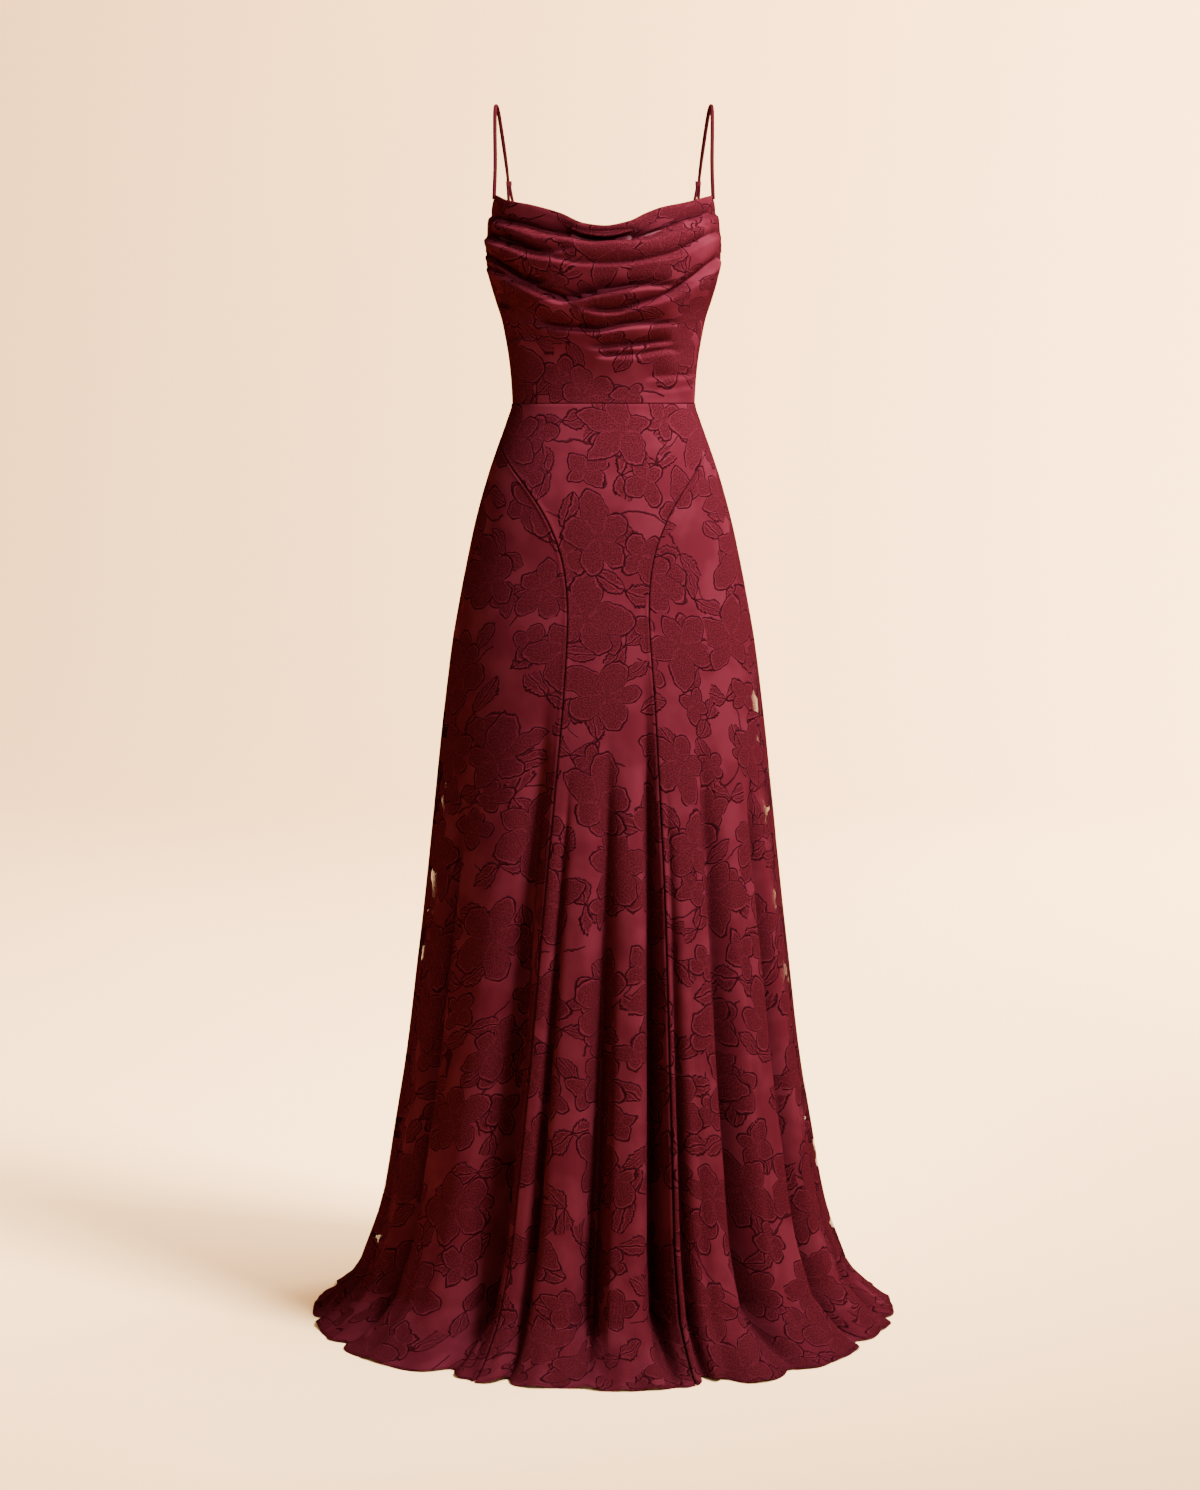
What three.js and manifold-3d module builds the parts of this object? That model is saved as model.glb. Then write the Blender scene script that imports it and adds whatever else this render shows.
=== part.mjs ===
// A floor-length evening dress with a cowl neck and thin shoulder straps, filled out as if worn, with no wearer.
// Millimetres, +Z up, the front faces -Y and the wearer's left is +X. Heights in the tables are above the floor,
// and the finished group is lowered so that the origin lies between the tops of the two straps.
// Angles are in degrees round the figure: 0 at the centre front, 90 at the left side seam, 180 at the centre back.
import * as THREE from "three";
import { mergeVertices } from "three/addons/utils/BufferGeometryUtils.js";
import Module from "manifold-3d";

const wasm = await Module();
wasm.setup();

// Driving sizes
const SHOULDER_HEIGHT = 1540;
const WAIST_HEIGHT = 1167;
const CLOTH = 1.2;
const LINING_CLOTH = 1.0;
const SEAM_GAP = 0.3;
const FLOOR_CLEARANCE = 0.9;
const SIDE_SEAM = 90;
const CENTRE_BACK = 180;

// Half width to the side, and depth to the front and to the back, of the outline at each height.
// corner squares the section off: 2 is an ellipse.
const FIGURE = [
  { height: 1430, side: 139, front: 110, back: 90, corner: 2.4 },
  { height: 1397, side: 144, front: 118, back: 95, corner: 2.4 },
  { height: 1372, side: 147, front: 124, back: 98, corner: 2.4 },
  { height: 1347, side: 147, front: 126, back: 99, corner: 2.4 },
  { height: 1322, side: 143, front: 123, back: 98, corner: 2.4 },
  { height: 1297, side: 136, front: 116, back: 95, corner: 2.35 },
  { height: 1272, side: 128, front: 107, back: 91, corner: 2.3 },
  { height: 1247, side: 123, front: 98, back: 87, corner: 2.25 },
  { height: 1222, side: 119, front: 91, back: 83, corner: 2.2 },
  { height: 1190, side: 116, front: 86, back: 80, corner: 2.2 },
  { height: 1167, side: 115, front: 84, back: 79, corner: 2.2 },
  { height: 1146, side: 121, front: 86, back: 85, corner: 2.2 },
  { height: 1121, side: 130, front: 91, back: 94, corner: 2.2 },
  { height: 1071, side: 147, front: 103, back: 109, corner: 2.2 },
  { height: 1020, side: 161, front: 111, back: 122, corner: 2.15 },
  { height: 970, side: 172, front: 117, back: 128, corner: 2.1 },
  { height: 919, side: 182, front: 126, back: 133, corner: 2.1 },
  { height: 868, side: 191, front: 138, back: 142, corner: 2.05 },
  { height: 766, side: 204, front: 161, back: 162, corner: 2 },
  { height: 663, side: 215, front: 184, back: 182, corner: 2 },
  { height: 560, side: 226, front: 206, back: 202, corner: 2 },
  { height: 456, side: 238, front: 225, back: 220, corner: 2 },
  { height: 352, side: 250, front: 243, back: 238, corner: 2 },
  { height: 247, side: 266, front: 263, back: 258, corner: 2 },
  { height: 142, side: 284, front: 283, back: 279, corner: 2 },
  { height: 62, side: 311, front: 311, back: 308, corner: 2 },
];

// The hem sweeps out over the floor from SWEEP_HEIGHT down to a circle of HEM_RADIUS.
const SWEEP_HEIGHT = 62;
const HEM_RADIUS = 376;
const SWEEP_FALL = 1.1;
const SWEEP_SPREAD = 0.8;

// The skirt hangs in furrows. at is a furrow's angle at the hem, depth how far it runs in, width its half width,
// from the height where it begins, and hem the depth that is left of it at the hem.
const FURROWS = [
  { at: -62, depth: 46, width: 15, from: 760, hem: 14 },
  { at: -33, depth: 70, width: 25, from: 880, hem: 22 },
  { at: -20, depth: 44, width: 10, from: 760, hem: 24 },
  { at: -4, depth: 54, width: 18, from: 820, hem: 3 },
  { at: 13, depth: 74, width: 16, from: 890, hem: 6 },
  { at: 20, depth: 34, width: 8, from: 760, hem: 30 },
  { at: 39, depth: 42, width: 17, from: 760, hem: 5 },
  { at: 63, depth: 58, width: 15, from: 740, hem: 14 },
  { at: 81, depth: 34, width: 12, from: 560, hem: 10 },
  { at: 103, depth: 50, width: 16, from: 700, hem: 14 },
  { at: 124, depth: 58, width: 17, from: 780, hem: 8 },
  { at: 146, depth: 62, width: 18, from: 820, hem: 20 },
  { at: 167, depth: 56, width: 16, from: 760, hem: 6 },
  { at: -172, depth: 60, width: 18, from: 800, hem: 18 },
  { at: -150, depth: 58, width: 17, from: 820, hem: 8 },
  { at: -128, depth: 60, width: 18, from: 760, hem: 20 },
  { at: -106, depth: 50, width: 16, from: 700, hem: 8 },
  { at: -81, depth: 36, width: 12, from: 580, hem: 10 },
];
const FURROW_GROWTH = 0.95;
const FURROW_ONSET = 4;
const FURROW_TOP_WIDTH = 0.55;
const FURROW_SWEEP = 1.3;

// Each curved skirt seam leaves the side seam at SEAM_TOP and is straight below SEAM_KNEE.
const SEAM_TOP = 1128;
const SEAM_KNEE = 800;
const SEAM_CURVE = 3.8;
const SEAM_POINT = 0.8;
const CURVED_SEAMS = {
  frontLeft: { centre: 0, turn: 1, knee: 23.5, hem: 17 },
  frontRight: { centre: 0, turn: -1, knee: 18.7, hem: 25.5 },
  backLeft: { centre: 180, turn: -1, knee: 21, hem: 23 },
  backRight: { centre: -180, turn: 1, knee: 21, hem: 22 },
};

// The front edge of the neck, from the right strap to the left one.
const NECKLINE = [
  { across: -134, height: 1424 },
  { across: -115, height: 1415 },
  { across: -84, height: 1408 },
  { across: -48, height: 1397 },
  { across: -21, height: 1384.5 },
  { across: 1, height: 1381.5 },
  { across: 27, height: 1387 },
  { across: 47, height: 1397 },
  { across: 66, height: 1404.5 },
  { across: 96, height: 1411.5 },
  { across: 134, height: 1423 },
];
const NECK_CORNER = 71.5;
const ARMHOLE_CURVE = 0.8;
const UNDERARM_HEIGHT = 1368;
const BACK_STRAP_ANGLE = 120.5;
const BACK_STRAP_HEIGHT = 1388;
const BACK_CENTRE_HEIGHT = 1378;

// The cowl hangs in swags. low is the height of each crease at lowAt, the middle of the swag, and rightEnd and
// leftEnd are its heights at the side seams. The depths are those of the crease at both ends and in the middle,
// and fromX and toX say where it fades out.
const SWAGS = [
  { low: 1363, lowAt: -12, rightEnd: 1404, leftEnd: 1401, rightDepth: 7, depth: 13, leftDepth: 6, fromX: -170, toX: 170 },
  { low: 1334, lowAt: 0, rightEnd: 1377, leftEnd: 1376, rightDepth: 8, depth: 3, leftDepth: 6, fromX: -170, toX: 170 },
  { low: 1297, lowAt: -48, rightEnd: 1354, leftEnd: 1330, rightDepth: 8, depth: 12, leftDepth: 3, fromX: -170, toX: 92 },
  { low: 1279, lowAt: 18, rightEnd: 1320, leftEnd: 1346, rightDepth: 2, depth: 7, leftDepth: 9, fromX: -30, toX: 170 },
  { low: 1260, lowAt: -2, rightEnd: 1272, leftEnd: 1270, rightDepth: 3, depth: 8, leftDepth: 3, fromX: -92, toX: 96 },
  { low: 1239, lowAt: 45, rightEnd: 1248, leftEnd: 1246, rightDepth: 2, depth: 6, leftDepth: 3, fromX: -26, toX: 92 },
  { low: 1284, lowAt: -112, rightEnd: 1297, leftEnd: 1300, rightDepth: 6, depth: 4, leftDepth: 0, fromX: -170, toX: -104 },
];
const SWAG_REACH = 146;
const SWAG_POWER = 1.45;
const SWAG_TUCK = 0.45;
const SWAG_TUCK_WIDTH = 13;
const SWAG_LEDGE = 8;
const SWAG_FALL = 24;
const SWAG_FADE = 22;
const LIP_DEPTH = 5;
const LIP_HEIGHT = 9;
const SIDE_FADE = 9;
const WAIST_FADE = 30;
const SIDE_RELIEF = 0.35;

// The gap from the outer cloth to the lining: all round, and further at the sides, where the lining is cut narrower.
const LINING_GAPS = [
  { height: 1430, all: 9, side: 0 },
  { height: 1250, all: 9, side: 0 },
  { height: 1167, all: 6.5, side: 0 },
  { height: 1000, all: 6.5, side: 2 },
  { height: 750, all: 7, side: 8 },
  { height: 450, all: 7.9, side: 13 },
  { height: 0, all: 8.8, side: 18 },
];
const LINING_SIDE_POWER = 4;
const LINING_BELOW_EDGE = 6;

// Straps and their fittings
const STRAP_DIAMETER = 3.2;
const STRAND_DIAMETER = 2.4;
const STRAP_SIDES = 6;
const SLIDER = { across: 120.5, depth: 62, back: 1.5, height: 1446, wall: 0.8, long: 6, roundness: 0.9 };
const SLIDER_LEAN = 9;
const STRAP_RINGS = 3;
const STRAP_PAST_CORNER = 1.5;
// The strap's way over the shoulder, between the front corner of the neck and the slider
const OVER_SHOULDER = [
  { x: 134.8, y: -36.2, z: 1462 },
  { x: 135.4, y: -25.2, z: 1505 },
  { x: 135.4, y: -14, z: 1532 },
  { x: 134, y: 4, z: SHOULDER_HEIGHT - STRAP_DIAMETER / 2 },
  { x: 131.5, y: 24, z: 1527 },
  { x: 126, y: 47, z: 1488 },
];
const STRAND_LEAD = 8;
const STRAND_LEAN = 2.5;
const STRAND_END = { back: 1, up: 1 };
// The strap's turn round the loop: share of the eye's half width, and how far back and up from the eye's middle
const EYE = { halfWidth: 4.1 };
const EYE_STOPS = [
  { share: 1, depth: -1, up: 4.55 },
  { share: 0.6, depth: 0, up: 0.3 },
  { share: 0, depth: 0, up: 0 },
  { share: -0.6, depth: 0, up: 0.3 },
  { share: -1, depth: -1, up: 4.55 },
];
const LOOP = { hole: 2.2, wall: 1, wide: 3.6, stem: 1.6 };

// The zip at the centre back
const ZIP = { bottom: 985, halfWidth: 11, thickness: 0.8, inside: 3, belowEdge: 7, turnRadius: 90, columns: 2, rows: 16 };
const ZIP_SLIDER = { width: 5.2, length: 8.5, thickness: 2, belowEdge: 10, off: 0.5 };
const BAIL = { hole: 1, wall: 0.7, wide: 1.2 };
const BAIL_SUNK = 0.2;
const PULL = { width: 5, length: 21, thickness: 1, corner: 1.2, bar: 1, side: 1.2, windowLength: 2.4 };

const WINE = new THREE.MeshStandardMaterial({ color: 0x6b1726, roughness: 0.75, metalness: 0 });
const SATIN = new THREE.MeshStandardMaterial({ color: 0x8c2b38, roughness: 0.45, metalness: 0 });
const ENAMEL = new THREE.MeshStandardMaterial({ color: 0x5c1521, roughness: 0.35, metalness: 0.3 });

const radians = THREE.MathUtils.degToRad;
const smooth = (x) => THREE.MathUtils.smoothstep(x, 0, 1);

// Reads a column of a table between its rows, on a smooth curve that never overshoots a row.
function along(rows, key, column, at) {
  const rising = rows[0][key] < rows[rows.length - 1][key];
  const sorted = rising ? rows : [...rows].reverse();
  const last = sorted.length - 1;
  if (at <= sorted[0][key]) return sorted[0][column];
  if (at >= sorted[last][key]) return sorted[last][column];
  const step = (i) => sorted[i + 1][key] - sorted[i][key];
  const slope = (i) => (sorted[i + 1][column] - sorted[i][column]) / step(i);
  const tangent = (i) => {
    if (i === 0) return slope(0);
    if (i === last) return slope(last - 1);
    const before = slope(i - 1);
    const after = slope(i);
    return before * after <= 0 ? 0 : (2 * before * after) / (before + after);
  };
  let i = 0;
  while (at > sorted[i + 1][key]) i++;
  const h = step(i);
  const t = (at - sorted[i][key]) / h;
  return (
    (1 + 2 * t) * (1 - t) ** 2 * sorted[i][column] +
    t * (1 - t) ** 2 * h * tangent(i) +
    t * t * (3 - 2 * t) * sorted[i + 1][column] +
    t * t * (t - 1) * h * tangent(i + 1)
  );
}

// Distance from the axis to the smooth outline of the figure, before any fold.
function figureRadius(angle, height) {
  const s = Math.abs(Math.sin(radians(angle)));
  const c = Math.cos(radians(angle));
  const side = along(FIGURE, "height", "side", height);
  const depth = along(FIGURE, "height", c >= 0 ? "front" : "back", height);
  const corner = along(FIGURE, "height", "corner", height);
  return ((s / side) ** corner + (Math.abs(c) / depth) ** corner) ** (-1 / corner);
}

const place = (radius, angle, height) =>
  new THREE.Vector3(radius * Math.sin(radians(angle)), -radius * Math.cos(radians(angle)), height);

// The angle of a curved skirt seam: nearly at the side seam at its top, straight below the knee.
function seamAngle(seam, height) {
  const { centre, turn, knee, hem } = seam;
  const bend = THREE.MathUtils.clamp((height - SEAM_KNEE) / (SEAM_TOP - SEAM_KNEE), 0, 1);
  const down = THREE.MathUtils.clamp((SEAM_KNEE - height) / SEAM_KNEE, 0, 1);
  const straight = knee + (hem - knee) * down;
  const off = height > SEAM_TOP ? SIDE_SEAM : straight + (SIDE_SEAM - SEAM_POINT - straight) * bend ** SEAM_CURVE;
  return centre + turn * off;
}

const fixed = (angle) => () => angle;
const seam = (name) => (height) => seamAngle(CURVED_SEAMS[name], height);

// The panels of the skirt, each between two seams, with the number of columns in its grid.
const SKIRT_PANELS = [
  { name: "skirt_front_centre", from: seam("frontRight"), to: seam("frontLeft"), top: WAIST_HEIGHT, columns: 20 },
  { name: "skirt_front_side_left", from: seam("frontLeft"), to: fixed(SIDE_SEAM), top: SEAM_TOP, columns: 12 },
  { name: "skirt_front_side_right", from: fixed(-SIDE_SEAM), to: seam("frontRight"), top: SEAM_TOP, columns: 12 },
  { name: "skirt_back_side_left", from: fixed(SIDE_SEAM), to: seam("backLeft"), top: SEAM_TOP, columns: 12 },
  { name: "skirt_back_side_right", from: seam("backRight"), to: fixed(-SIDE_SEAM), top: SEAM_TOP, columns: 11 },
  { name: "skirt_back_centre_left", from: seam("backLeft"), to: fixed(CENTRE_BACK), top: WAIST_HEIGHT, columns: 8 },
  { name: "skirt_back_centre_right", from: fixed(-CENTRE_BACK), to: seam("backRight"), top: WAIST_HEIGHT, columns: 8 },
];

// A furrow stays at the same share of its panel's width all the way up.
for (const furrow of FURROWS) {
  furrow.panel = SKIRT_PANELS.find((p) => p.from(0) <= furrow.at && furrow.at < p.to(0));
  furrow.share = (furrow.at - furrow.panel.from(0)) / (furrow.panel.to(0) - furrow.panel.from(0));
}

function turnBetween(a, b) {
  return ((((a - b) % 360) + 540) % 360) - 180;
}

// How far the furrows run in at an angle and height. swept runs from 0 where the sweep starts to 1 at the hem.
function furrowDepth(angle, height, radius, swept) {
  let sum = 0;
  for (const { panel, share, depth, width, from, hem } of FURROWS) {
    if (height >= from) continue;
    const grown = (from - height) / (from - SWEEP_HEIGHT);
    const hanging = depth * grown ** FURROW_GROWTH * smooth(FURROW_ONSET * grown);
    const deep = swept > 0 ? hem + (depth - hem) * (1 - swept) ** FURROW_SWEEP : hanging;
    const at = panel.from(height) + share * (panel.to(height) - panel.from(height));
    const wide = width * (FURROW_TOP_WIDTH + (1 - FURROW_TOP_WIDTH) * Math.min(grown, 1));
    const off = (radians(turnBetween(angle, at)) * radius) / wide;
    sum += deep * Math.exp(-off * off);
  }
  return sum;
}

// A point of the outer skirt. drop is 0 at the waist and 1 where the sweep starts, and then 2 at the hem.
function skirtPoint(angle, drop, inward = 0) {
  const swept = Math.max(0, drop - 1);
  const height = Math.max(SWEEP_HEIGHT, WAIST_HEIGHT - (WAIST_HEIGHT - SWEEP_HEIGHT) * drop);
  const base = figureRadius(angle, height);
  const radius = base + (HEM_RADIUS - base) * swept ** SWEEP_SPREAD;
  const floor = FLOOR_CLEARANCE + (SWEEP_HEIGHT - FLOOR_CLEARANCE) * (1 - swept) ** SWEEP_FALL;
  return place(radius - furrowDepth(angle, height, radius, swept) - inward, angle, swept > 0 ? floor : height);
}

const dropAt = (height) => (WAIST_HEIGHT - height) / (WAIST_HEIGHT - SWEEP_HEIGHT);
const heightAt = (drop) => Math.max(SWEEP_HEIGHT, WAIST_HEIGHT - (WAIST_HEIGHT - SWEEP_HEIGHT) * drop);

// The height of the bodice's upper edge: the neckline, the armhole, and a slightly scooped back.
function topEdge(angle) {
  const turn = Math.abs(angle);
  if (turn <= NECK_CORNER) {
    const across = figureRadius(angle, NECKLINE[0].height) * Math.sin(radians(angle));
    return along(NECKLINE, "across", "height", across);
  }
  const corner = topEdge(Math.sign(angle) * NECK_CORNER);
  if (turn <= SIDE_SEAM) {
    const t = (turn - NECK_CORNER) / (SIDE_SEAM - NECK_CORNER);
    return corner + (UNDERARM_HEIGHT - corner) * smooth(t ** ARMHOLE_CURVE);
  }
  if (turn <= BACK_STRAP_ANGLE) {
    const t = (turn - SIDE_SEAM) / (BACK_STRAP_ANGLE - SIDE_SEAM);
    return UNDERARM_HEIGHT + (BACK_STRAP_HEIGHT - UNDERARM_HEIGHT) * smooth(t);
  }
  const t = (turn - BACK_STRAP_ANGLE) / (CENTRE_BACK - BACK_STRAP_ANGLE);
  return BACK_STRAP_HEIGHT + (BACK_CENTRE_HEIGHT - BACK_STRAP_HEIGHT) * smooth(t);
}

// How far a swag stands out from the figure, or in where it is negative. Just below a crease the cloth juts out as a
// ledge and then falls back slowly; just above it the cloth tucks in.
function swagRelief(swag, across, height) {
  const { low, lowAt, rightEnd, leftEnd, rightDepth, depth, leftDepth, fromX, toX } = swag;
  const left = across > lowAt;
  const share = Math.min(1, Math.abs(across - lowAt) / (left ? SWAG_REACH - lowAt : SWAG_REACH + lowAt));
  const crease = low + ((left ? leftEnd : rightEnd) - low) * share ** SWAG_POWER;
  const fade = smooth((across - fromX) / SWAG_FADE) * smooth((toX - across) / SWAG_FADE);
  const deep = (depth + ((left ? leftDepth : rightDepth) - depth) * smooth(share)) * fade;
  const below = crease - height;
  if (below < 0) return -deep * SWAG_TUCK * Math.exp(-((below / SWAG_TUCK_WIDTH) ** 2));
  if (below < SWAG_LEDGE) return deep * (-SWAG_TUCK + (1 + SWAG_TUCK) * smooth(below / SWAG_LEDGE));
  return deep * Math.exp(-(((below - SWAG_LEDGE) / SWAG_FALL) ** 2));
}

// A point of the outer bodice, from its upper edge at drop 0 to the waist at drop 1.
function bodicePoint(angle, drop) {
  const top = topEdge(angle);
  const height = top + (WAIST_HEIGHT + SEAM_GAP / 2 - top) * drop;
  let radius = figureRadius(angle, height);
  if (Math.abs(angle) <= SIDE_SEAM) {
    const across = radius * Math.sin(radians(angle));
    const frontness = Math.sqrt(Math.cos(radians(angle)));
    const relief = SWAGS.reduce((sum, swag) => sum + swagRelief(swag, across, height), 0);
    const lip = LIP_DEPTH * Math.exp(-(((top - height) / LIP_HEIGHT) ** 2)) * Math.cos(radians(angle));
    const settle = smooth((height - WAIST_HEIGHT) / WAIST_FADE) * smooth((SIDE_SEAM - Math.abs(angle)) / SIDE_FADE);
    radius += (relief * (SIDE_RELIEF + (1 - SIDE_RELIEF) * frontness) + lip) * settle;
  }
  return place(radius, angle, height);
}

function liningGap(angle, height) {
  const side = Math.abs(Math.sin(radians(angle))) ** LINING_SIDE_POWER;
  return along(LINING_GAPS, "height", "all", height) + along(LINING_GAPS, "height", "side", height) * side;
}

function bodiceLiningPoint(angle, drop) {
  const top = topEdge(angle) - LINING_BELOW_EDGE;
  const height = top + (WAIST_HEIGHT + SEAM_GAP / 2 - top) * drop;
  return place(figureRadius(angle, height) - liningGap(angle, height), angle, height);
}

const skirtLiningPoint = (angle, drop) => skirtPoint(angle, drop, liningGap(angle, heightAt(drop)));

// The direction that a surface faces, from two short steps along it.
const ANGLE_STEP = 1;
const DROP_STEP = 0.001;
function facing(point, angle, drop, lastDrop) {
  const inside = THREE.MathUtils.clamp(drop, 2 * DROP_STEP, lastDrop - 2 * DROP_STEP);
  const round = point(angle + ANGLE_STEP, inside).sub(point(angle - ANGLE_STEP, inside));
  const down = point(angle, inside + DROP_STEP).sub(point(angle, inside - DROP_STEP));
  return down.cross(round).normalize();
}

// A closed wall of cloth over a grid of rows, with the angles of each row's points from angles(drop).
function wall({ point, angles, drops, thickness }) {
  const outer = [];
  const inner = [];
  const lastDrop = Math.max(...drops);
  for (const drop of drops) {
    for (const angle of angles(drop)) {
      const middle = point(angle, drop);
      const out = facing(point, angle, drop, lastDrop);
      outer.push(middle.clone().addScaledVector(out, thickness / 2));
      inner.push(middle.clone().addScaledVector(out, -thickness / 2));
    }
  }
  return closeSheets(outer, inner, drops.length, outer.length / drops.length);
}

// Joins two sheets of points, laid out in rows, with faces along their four sides.
function closeSheets(outer, inner, rows, columns) {
  const points = [...outer, ...inner];
  const back = outer.length;
  const at = (row, column) => row * columns + column;
  const index = [];
  const quad = (a, b, c, d) => index.push(a, b, c, a, c, d);
  // The inner side has the same diagonals as the outer one, so that the wall keeps its thickness where it twists.
  const innerQuad = (a, b, c, d) => index.push(back + a, back + c, back + b, back + a, back + d, back + c);
  for (let i = 0; i + 1 < rows; i++) {
    for (let j = 0; j + 1 < columns; j++) {
      quad(at(i, j), at(i + 1, j), at(i + 1, j + 1), at(i, j + 1));
      innerQuad(at(i, j), at(i + 1, j), at(i + 1, j + 1), at(i, j + 1));
    }
    const end = columns - 1;
    quad(back + at(i, 0), back + at(i + 1, 0), at(i + 1, 0), at(i, 0));
    quad(at(i, end), at(i + 1, end), back + at(i + 1, end), back + at(i, end));
  }
  for (let j = 0; j + 1 < columns; j++) {
    const foot = rows - 1;
    quad(at(0, j), at(0, j + 1), back + at(0, j + 1), back + at(0, j));
    quad(back + at(foot, j), back + at(foot, j + 1), at(foot, j + 1), at(foot, j));
  }
  const geometry = new THREE.BufferGeometry();
  geometry.setAttribute("position", new THREE.Float32BufferAttribute(points.flatMap((p) => p.toArray()), 3));
  geometry.setIndex(index);
  return geometry;
}

const evenly = (count) => Array.from({ length: count + 1 }, (_, i) => i / count);

const dress = new THREE.Group();
dress.position.z = -SHOULDER_HEIGHT;

function add(name, geometry, material) {
  const mesh = new THREE.Mesh(geometry, material);
  mesh.name = name;
  dress.add(mesh);
}

// Spreads a row of points between two seams by shares, half a seam gap clear of each, measured square to the seam.
function between(from, to, point, drop, shares) {
  const height = heightAt(drop);
  const [first, last] = [from, to].map((edge) => {
    const p = point(edge(height), drop);
    const radius = Math.hypot(p.x, p.y);
    const slant = radians(edge(height - 1) - edge(height + 1)) * radius / 2;
    return THREE.MathUtils.radToDeg((SEAM_GAP / 2) * Math.hypot(1, slant) / radius);
  });
  const [start, end] = [from(height) + first, to(height) - last];
  return shares.map((share) => start + (end - start) * share);
}

// Columns lie close together over the furrows and wide apart over the smooth cloth between them.
const COLUMN_CROWDING = 2.4;
const COLUMN_REACH = 2.5;
const COLUMN_SAMPLES = 400;
function furrowShares(panel) {
  const span = panel.to(0) - panel.from(0);
  const own = FURROWS.filter((furrow) => furrow.panel === panel);
  const weight = (share) => {
    const near = own.map((f) => Math.abs(((share - f.share) * radians(span) * HEM_RADIUS) / f.width));
    return 1 + COLUMN_CROWDING * Math.exp(-(Math.min(...near) ** 2) / COLUMN_REACH);
  };
  const sums = [0];
  for (let i = 0; i < COLUMN_SAMPLES; i++) sums.push(sums[i] + weight((i + 0.5) / COLUMN_SAMPLES));
  const total = sums[COLUMN_SAMPLES];
  return evenly(panel.columns).map((t) => {
    if (t === 1) return 1;
    const i = sums.findIndex((sum) => sum >= t * total);
    return i <= 0 ? 0 : (i - (sums[i] - t * total) / (sums[i] - sums[i - 1])) / COLUMN_SAMPLES;
  });
}

// The rows of the skirt. Panels share them, so that both sides of a seam follow the same line.
const SKIRT_TOP = WAIST_HEIGHT - SEAM_GAP / 2;
const CURVED_ROWS = 9;
const CURVED_ROW_POWER = 1.5;
const STRAIGHT_ROWS = 5;
const SKIRT_ROWS = [
  SKIRT_TOP,
  SEAM_TOP + 2,
  SEAM_TOP,
  ...evenly(CURVED_ROWS).slice(1).map((t) => SEAM_TOP + (SEAM_KNEE - SEAM_TOP) * t ** CURVED_ROW_POWER),
  ...evenly(STRAIGHT_ROWS).slice(1).map((t) => SEAM_KNEE + (SWEEP_HEIGHT - SEAM_KNEE) * t),
];
const LINING_SKIPS = [1, 3, 6, 8, 10];
const SWEEP_ROWS = 3;
const FURROW_REACH = 90;

function makeSkirt() {
  for (const panel of SKIRT_PANELS) {
    const shares = furrowShares(panel);
    const rows = SKIRT_ROWS.filter((height) => height <= panel.top);
    const drops = [...rows.map(dropAt), ...evenly(SWEEP_ROWS).slice(1).map((t) => 1 + t)];
    const angles = (drop) => {
      const even = smooth((heightAt(drop) - SEAM_KNEE - FURROW_REACH) / (SEAM_TOP - SEAM_KNEE - 2 * FURROW_REACH));
      const blended = shares.map((share, i) => share + (i / panel.columns - share) * even);
      return between(panel.from, panel.to, skirtPoint, drop, blended);
    };
    add(panel.name, wall({ point: skirtPoint, angles, drops, thickness: CLOTH }), WINE);
  }
}

// The lining's columns are those of the panels, so that it stays inside every furrow.
function makeSkirtLining() {
  const sorted = [...SKIRT_PANELS].sort((a, b) => a.from(0) - b.from(0));
  const halves = {
    front: sorted.filter((panel) => panel.name.includes("front")),
    back_left: sorted.filter((panel) => panel.name.includes("back") && panel.name.includes("left")),
    back_right: sorted.filter((panel) => panel.name.includes("back") && panel.name.includes("right")),
  };
  const rows = SKIRT_ROWS.filter((height, i) => !LINING_SKIPS.includes(i));
  for (const [name, panels] of Object.entries(halves)) {
    const angles = (drop) => {
      const height = Math.min(heightAt(drop), SEAM_KNEE);
      const all = panels.flatMap((panel, i) => {
        const shares = furrowShares(panel).slice(i === 0 ? 0 : 1);
        return shares.map((share) => panel.from(height) + (panel.to(height) - panel.from(height)) * share);
      });
      const [from, to] = [all[0], all[all.length - 1]];
      const shares = all.map((angle) => (angle - from) / (to - from));
      return between(fixed(from), fixed(to), skirtLiningPoint, drop, shares);
    };
    const grid = { point: skirtLiningPoint, angles, drops: rows.map(dropAt), thickness: LINING_CLOTH };
    add(`lining_skirt_${name}`, wall(grid), SATIN);
  }
}

const NECK_COLUMNS = 18;
const BACK_COLUMNS = 9;
const BODICE_LINING_ROWS = 8;

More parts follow.
